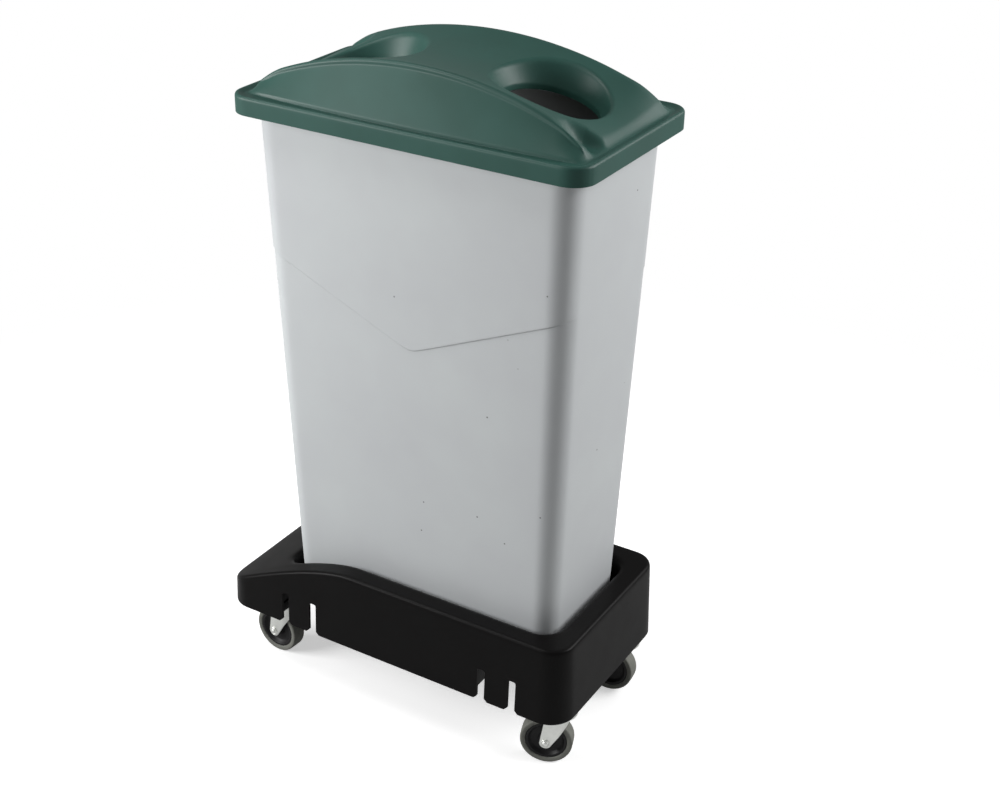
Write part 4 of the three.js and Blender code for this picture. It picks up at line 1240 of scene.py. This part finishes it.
for corner in corners:
    node = f"caster_{corner}"
    pin = middle_of(f"{node}_kingpin")
    wheel = middle_of(f"{node}_tread")
    turn = math.atan2(pin.y - wheel.y, pin.x - wheel.x)
    fork_body, wheel_body = f"{corner}_fork", f"{corner}_wheel"
    swivelled = [
        (tyre(), "tyre", wheel_body, "tread_rubber", tyre_rubber, "tread"),
        (wheel_hub(), "wheel_hub", wheel_body, "hub_plastic", hub_plastic, "hub"),
        (bush(), "axle_bush", fork_body, "bush_plastic", bush_plastic, "bush"),
        (axle_bolt(), "axle_bolt", fork_body, "zinc_steel", zinc_steel, "axle_bolt"),
        (axle_nut(), "axle_nut", fork_body, "zinc_steel", zinc_steel, "axle_nut"),
        (fork(), "fork", fork_body, "zinc_steel", zinc_steel, "fork"),
        (ball_ring(), "ball_ring", fork_body, "zinc_steel", zinc_steel, "ball_race"),
    ]
    for shape, name, body, slot_name, material, replaced in swivelled:
        shape = placed(shape, pin, turn)
        finished(shape, f"{corner}_{name}", body, slot_name, material, [f"{node}_{replaced}"])
    fixed = [(mounting_plate(f"{node}_plate"), "plate", pin), (kingpin(), "kingpin", pin)]
    fixed += [(plate_bolt(), f"bolt_{n}", middle_of(f"{node}_bolt_{n}")) for n in range(1, 5)]
    for shape, name, place in fixed:
        shape = placed(shape, place)
        finished(shape, f"{corner}_{name}", "dolly", "zinc_steel", zinc_steel, [f"{node}_{name}"])


# The studio: a pale floor that fades into a white surround, and four soft lamps, of which
# the wide one at the left is low and the others stand at the right, above and behind.
# Only the camera and, in part, glossy surfaces see the floor and the surround as pale.
floor_size = 12.0
floor_gloss_share = 0.3
floor_lift = 0.5
fade_start = 0.5
fade_end = 1.5
surround_strength = 0.15
surround_gloss_strength = 0.3
lamp_aim = 0.5
white = srgb("ffffff")

bm = bmesh.new()
bmesh.ops.create_grid(bm, x_segments=1, y_segments=1, size=floor_size / 2)
floor_mesh = bpy.data.meshes.new("studio_floor")
bm.to_mesh(floor_mesh)
bm.free()
floor = bpy.data.objects.new("studio_floor", floor_mesh)
bpy.context.scene.collection.objects.link(floor)
floor_material, tree, shader = new_material("pale_studio_floor")
tree.nodes.remove(shader)
rays = add_node(tree, "LightPath", {}).outputs
matt = add_node(tree, "BsdfDiffuse", {"Color": srgb("9a9a9a")}).outputs[0]
pale = add_node(tree, "BsdfDiffuse", {"Color": srgb("f4f4f4")}).outputs[0]
lift = add_node(tree, "Emission", {"Color": white, "Strength": floor_lift}).outputs[0]
lit = add_node(tree, "AddShader", {0: pale, 1: lift}).outputs[0]
bright = add_node(tree, "Emission", {"Color": white, "Strength": 1.0}).outputs[0]
floor_place = add_node(tree, "TexCoord", {}).outputs["Object"]
away = add_node(tree, "VectorMath", {0: floor_place}, operation="LENGTH").outputs["Value"]
faded = add_node(tree, "MapRange", {
    "Value": away, "From Min": fade_start, "From Max": fade_end, "To Min": 0.0, "To Max": 1.0,
}, interpolation_type="SMOOTHSTEP").outputs["Result"]
shown = add_node(tree, "MixShader", {0: faded, 1: lit, 2: bright}).outputs[0]
view_share = add_node(tree, "Math", {
    0: rays["Is Glossy Ray"], 1: floor_gloss_share, 2: rays["Is Camera Ray"],
}, operation="MULTIPLY_ADD").outputs["Value"]
seen = add_node(tree, "MixShader", {0: view_share, 1: matt, 2: shown}).outputs[0]
tree.links.new(seen, tree.nodes["Material Output"].inputs["Surface"])
floor_mesh.materials.append(floor_material)

world = bpy.data.worlds.new("white_surround")
bpy.context.scene.world = world
world.use_nodes = True
tree = world.node_tree
tree.nodes.clear()
rays = add_node(tree, "LightPath", {}).outputs
either = add_node(tree, "Math", {
    0: rays["Is Camera Ray"], 1: rays["Is Transmission Ray"],
}, operation="MAXIMUM").outputs["Value"]
strength = mapped(
    tree, rays["Is Glossy Ray"], 0.0, 1.0, surround_strength, surround_gloss_strength,
)
surround = add_node(tree, "Background", {"Color": white, "Strength": strength}).outputs[0]
backdrop = add_node(tree, "Background", {"Color": white, "Strength": 1.0}).outputs[0]
choice = add_node(tree, "MixShader", {0: either, 1: surround, 2: backdrop}).outputs[0]
add_node(tree, "OutputWorld", {"Surface": choice})


def soft_lamp(name, azimuth, elevation, distance, width, height, watts):
    """A soft lamp that faces the bin's middle from a bearing, in degrees and metres."""
    turn, rise = math.radians(azimuth), math.radians(elevation)
    back = Vector((math.sin(turn) * math.cos(rise), -math.cos(turn) * math.cos(rise), math.sin(rise)))
    data = bpy.data.lights.new(name, "AREA")
    data.shape = "RECTANGLE"
    data.size = width
    data.size_y = height
    data.energy = watts
    lamp = bpy.data.objects.new(name, data)
    lamp.location = Vector((bin_x * mm, 0, lamp_aim)) + back * distance
    lamp.rotation_euler = (-back).to_track_quat("-Z", "Y").to_euler()
    bpy.context.scene.collection.objects.link(lamp)


soft_lamp("left_softbox", -48, 17, distance=2.4, width=1.5, height=0.8, watts=53.0)
soft_lamp("right_softbox", 121, 26, distance=2.6, width=1.4, height=1.4, watts=50.0)
soft_lamp("top_softbox", -60, 60, distance=2.4, width=1.0, height=1.0, watts=19.0)
soft_lamp("back_softbox", 150, 30, distance=2.8, width=1.2, height=1.2, watts=11.0)

camera_data = bpy.data.cameras.new("camera")
camera_data.sensor_width = 36.0
camera_data.lens = 58.0
camera_data.shift_x = 0.0133
camera_data.shift_y = 0.0121
camera_azimuth = math.radians(30.9)
camera_elevation = math.radians(28.4)
camera_roll = math.radians(1.0)
camera_place = Vector((1073.8, -1669.2, 1510.1)) * mm
camera = bpy.data.objects.new("camera", camera_data)
camera.matrix_world = Matrix.Translation(camera_place)
for angle, axis in (
    (camera_azimuth, "Z"), (math.pi / 2 - camera_elevation, "X"), (camera_roll, "Z"),
):
    camera.matrix_world = camera.matrix_world @ Matrix.Rotation(angle, 4, axis)
bpy.context.scene.collection.objects.link(camera)
bpy.context.scene.camera = camera
bpy.context.scene.view_settings.view_transform = "Standard"
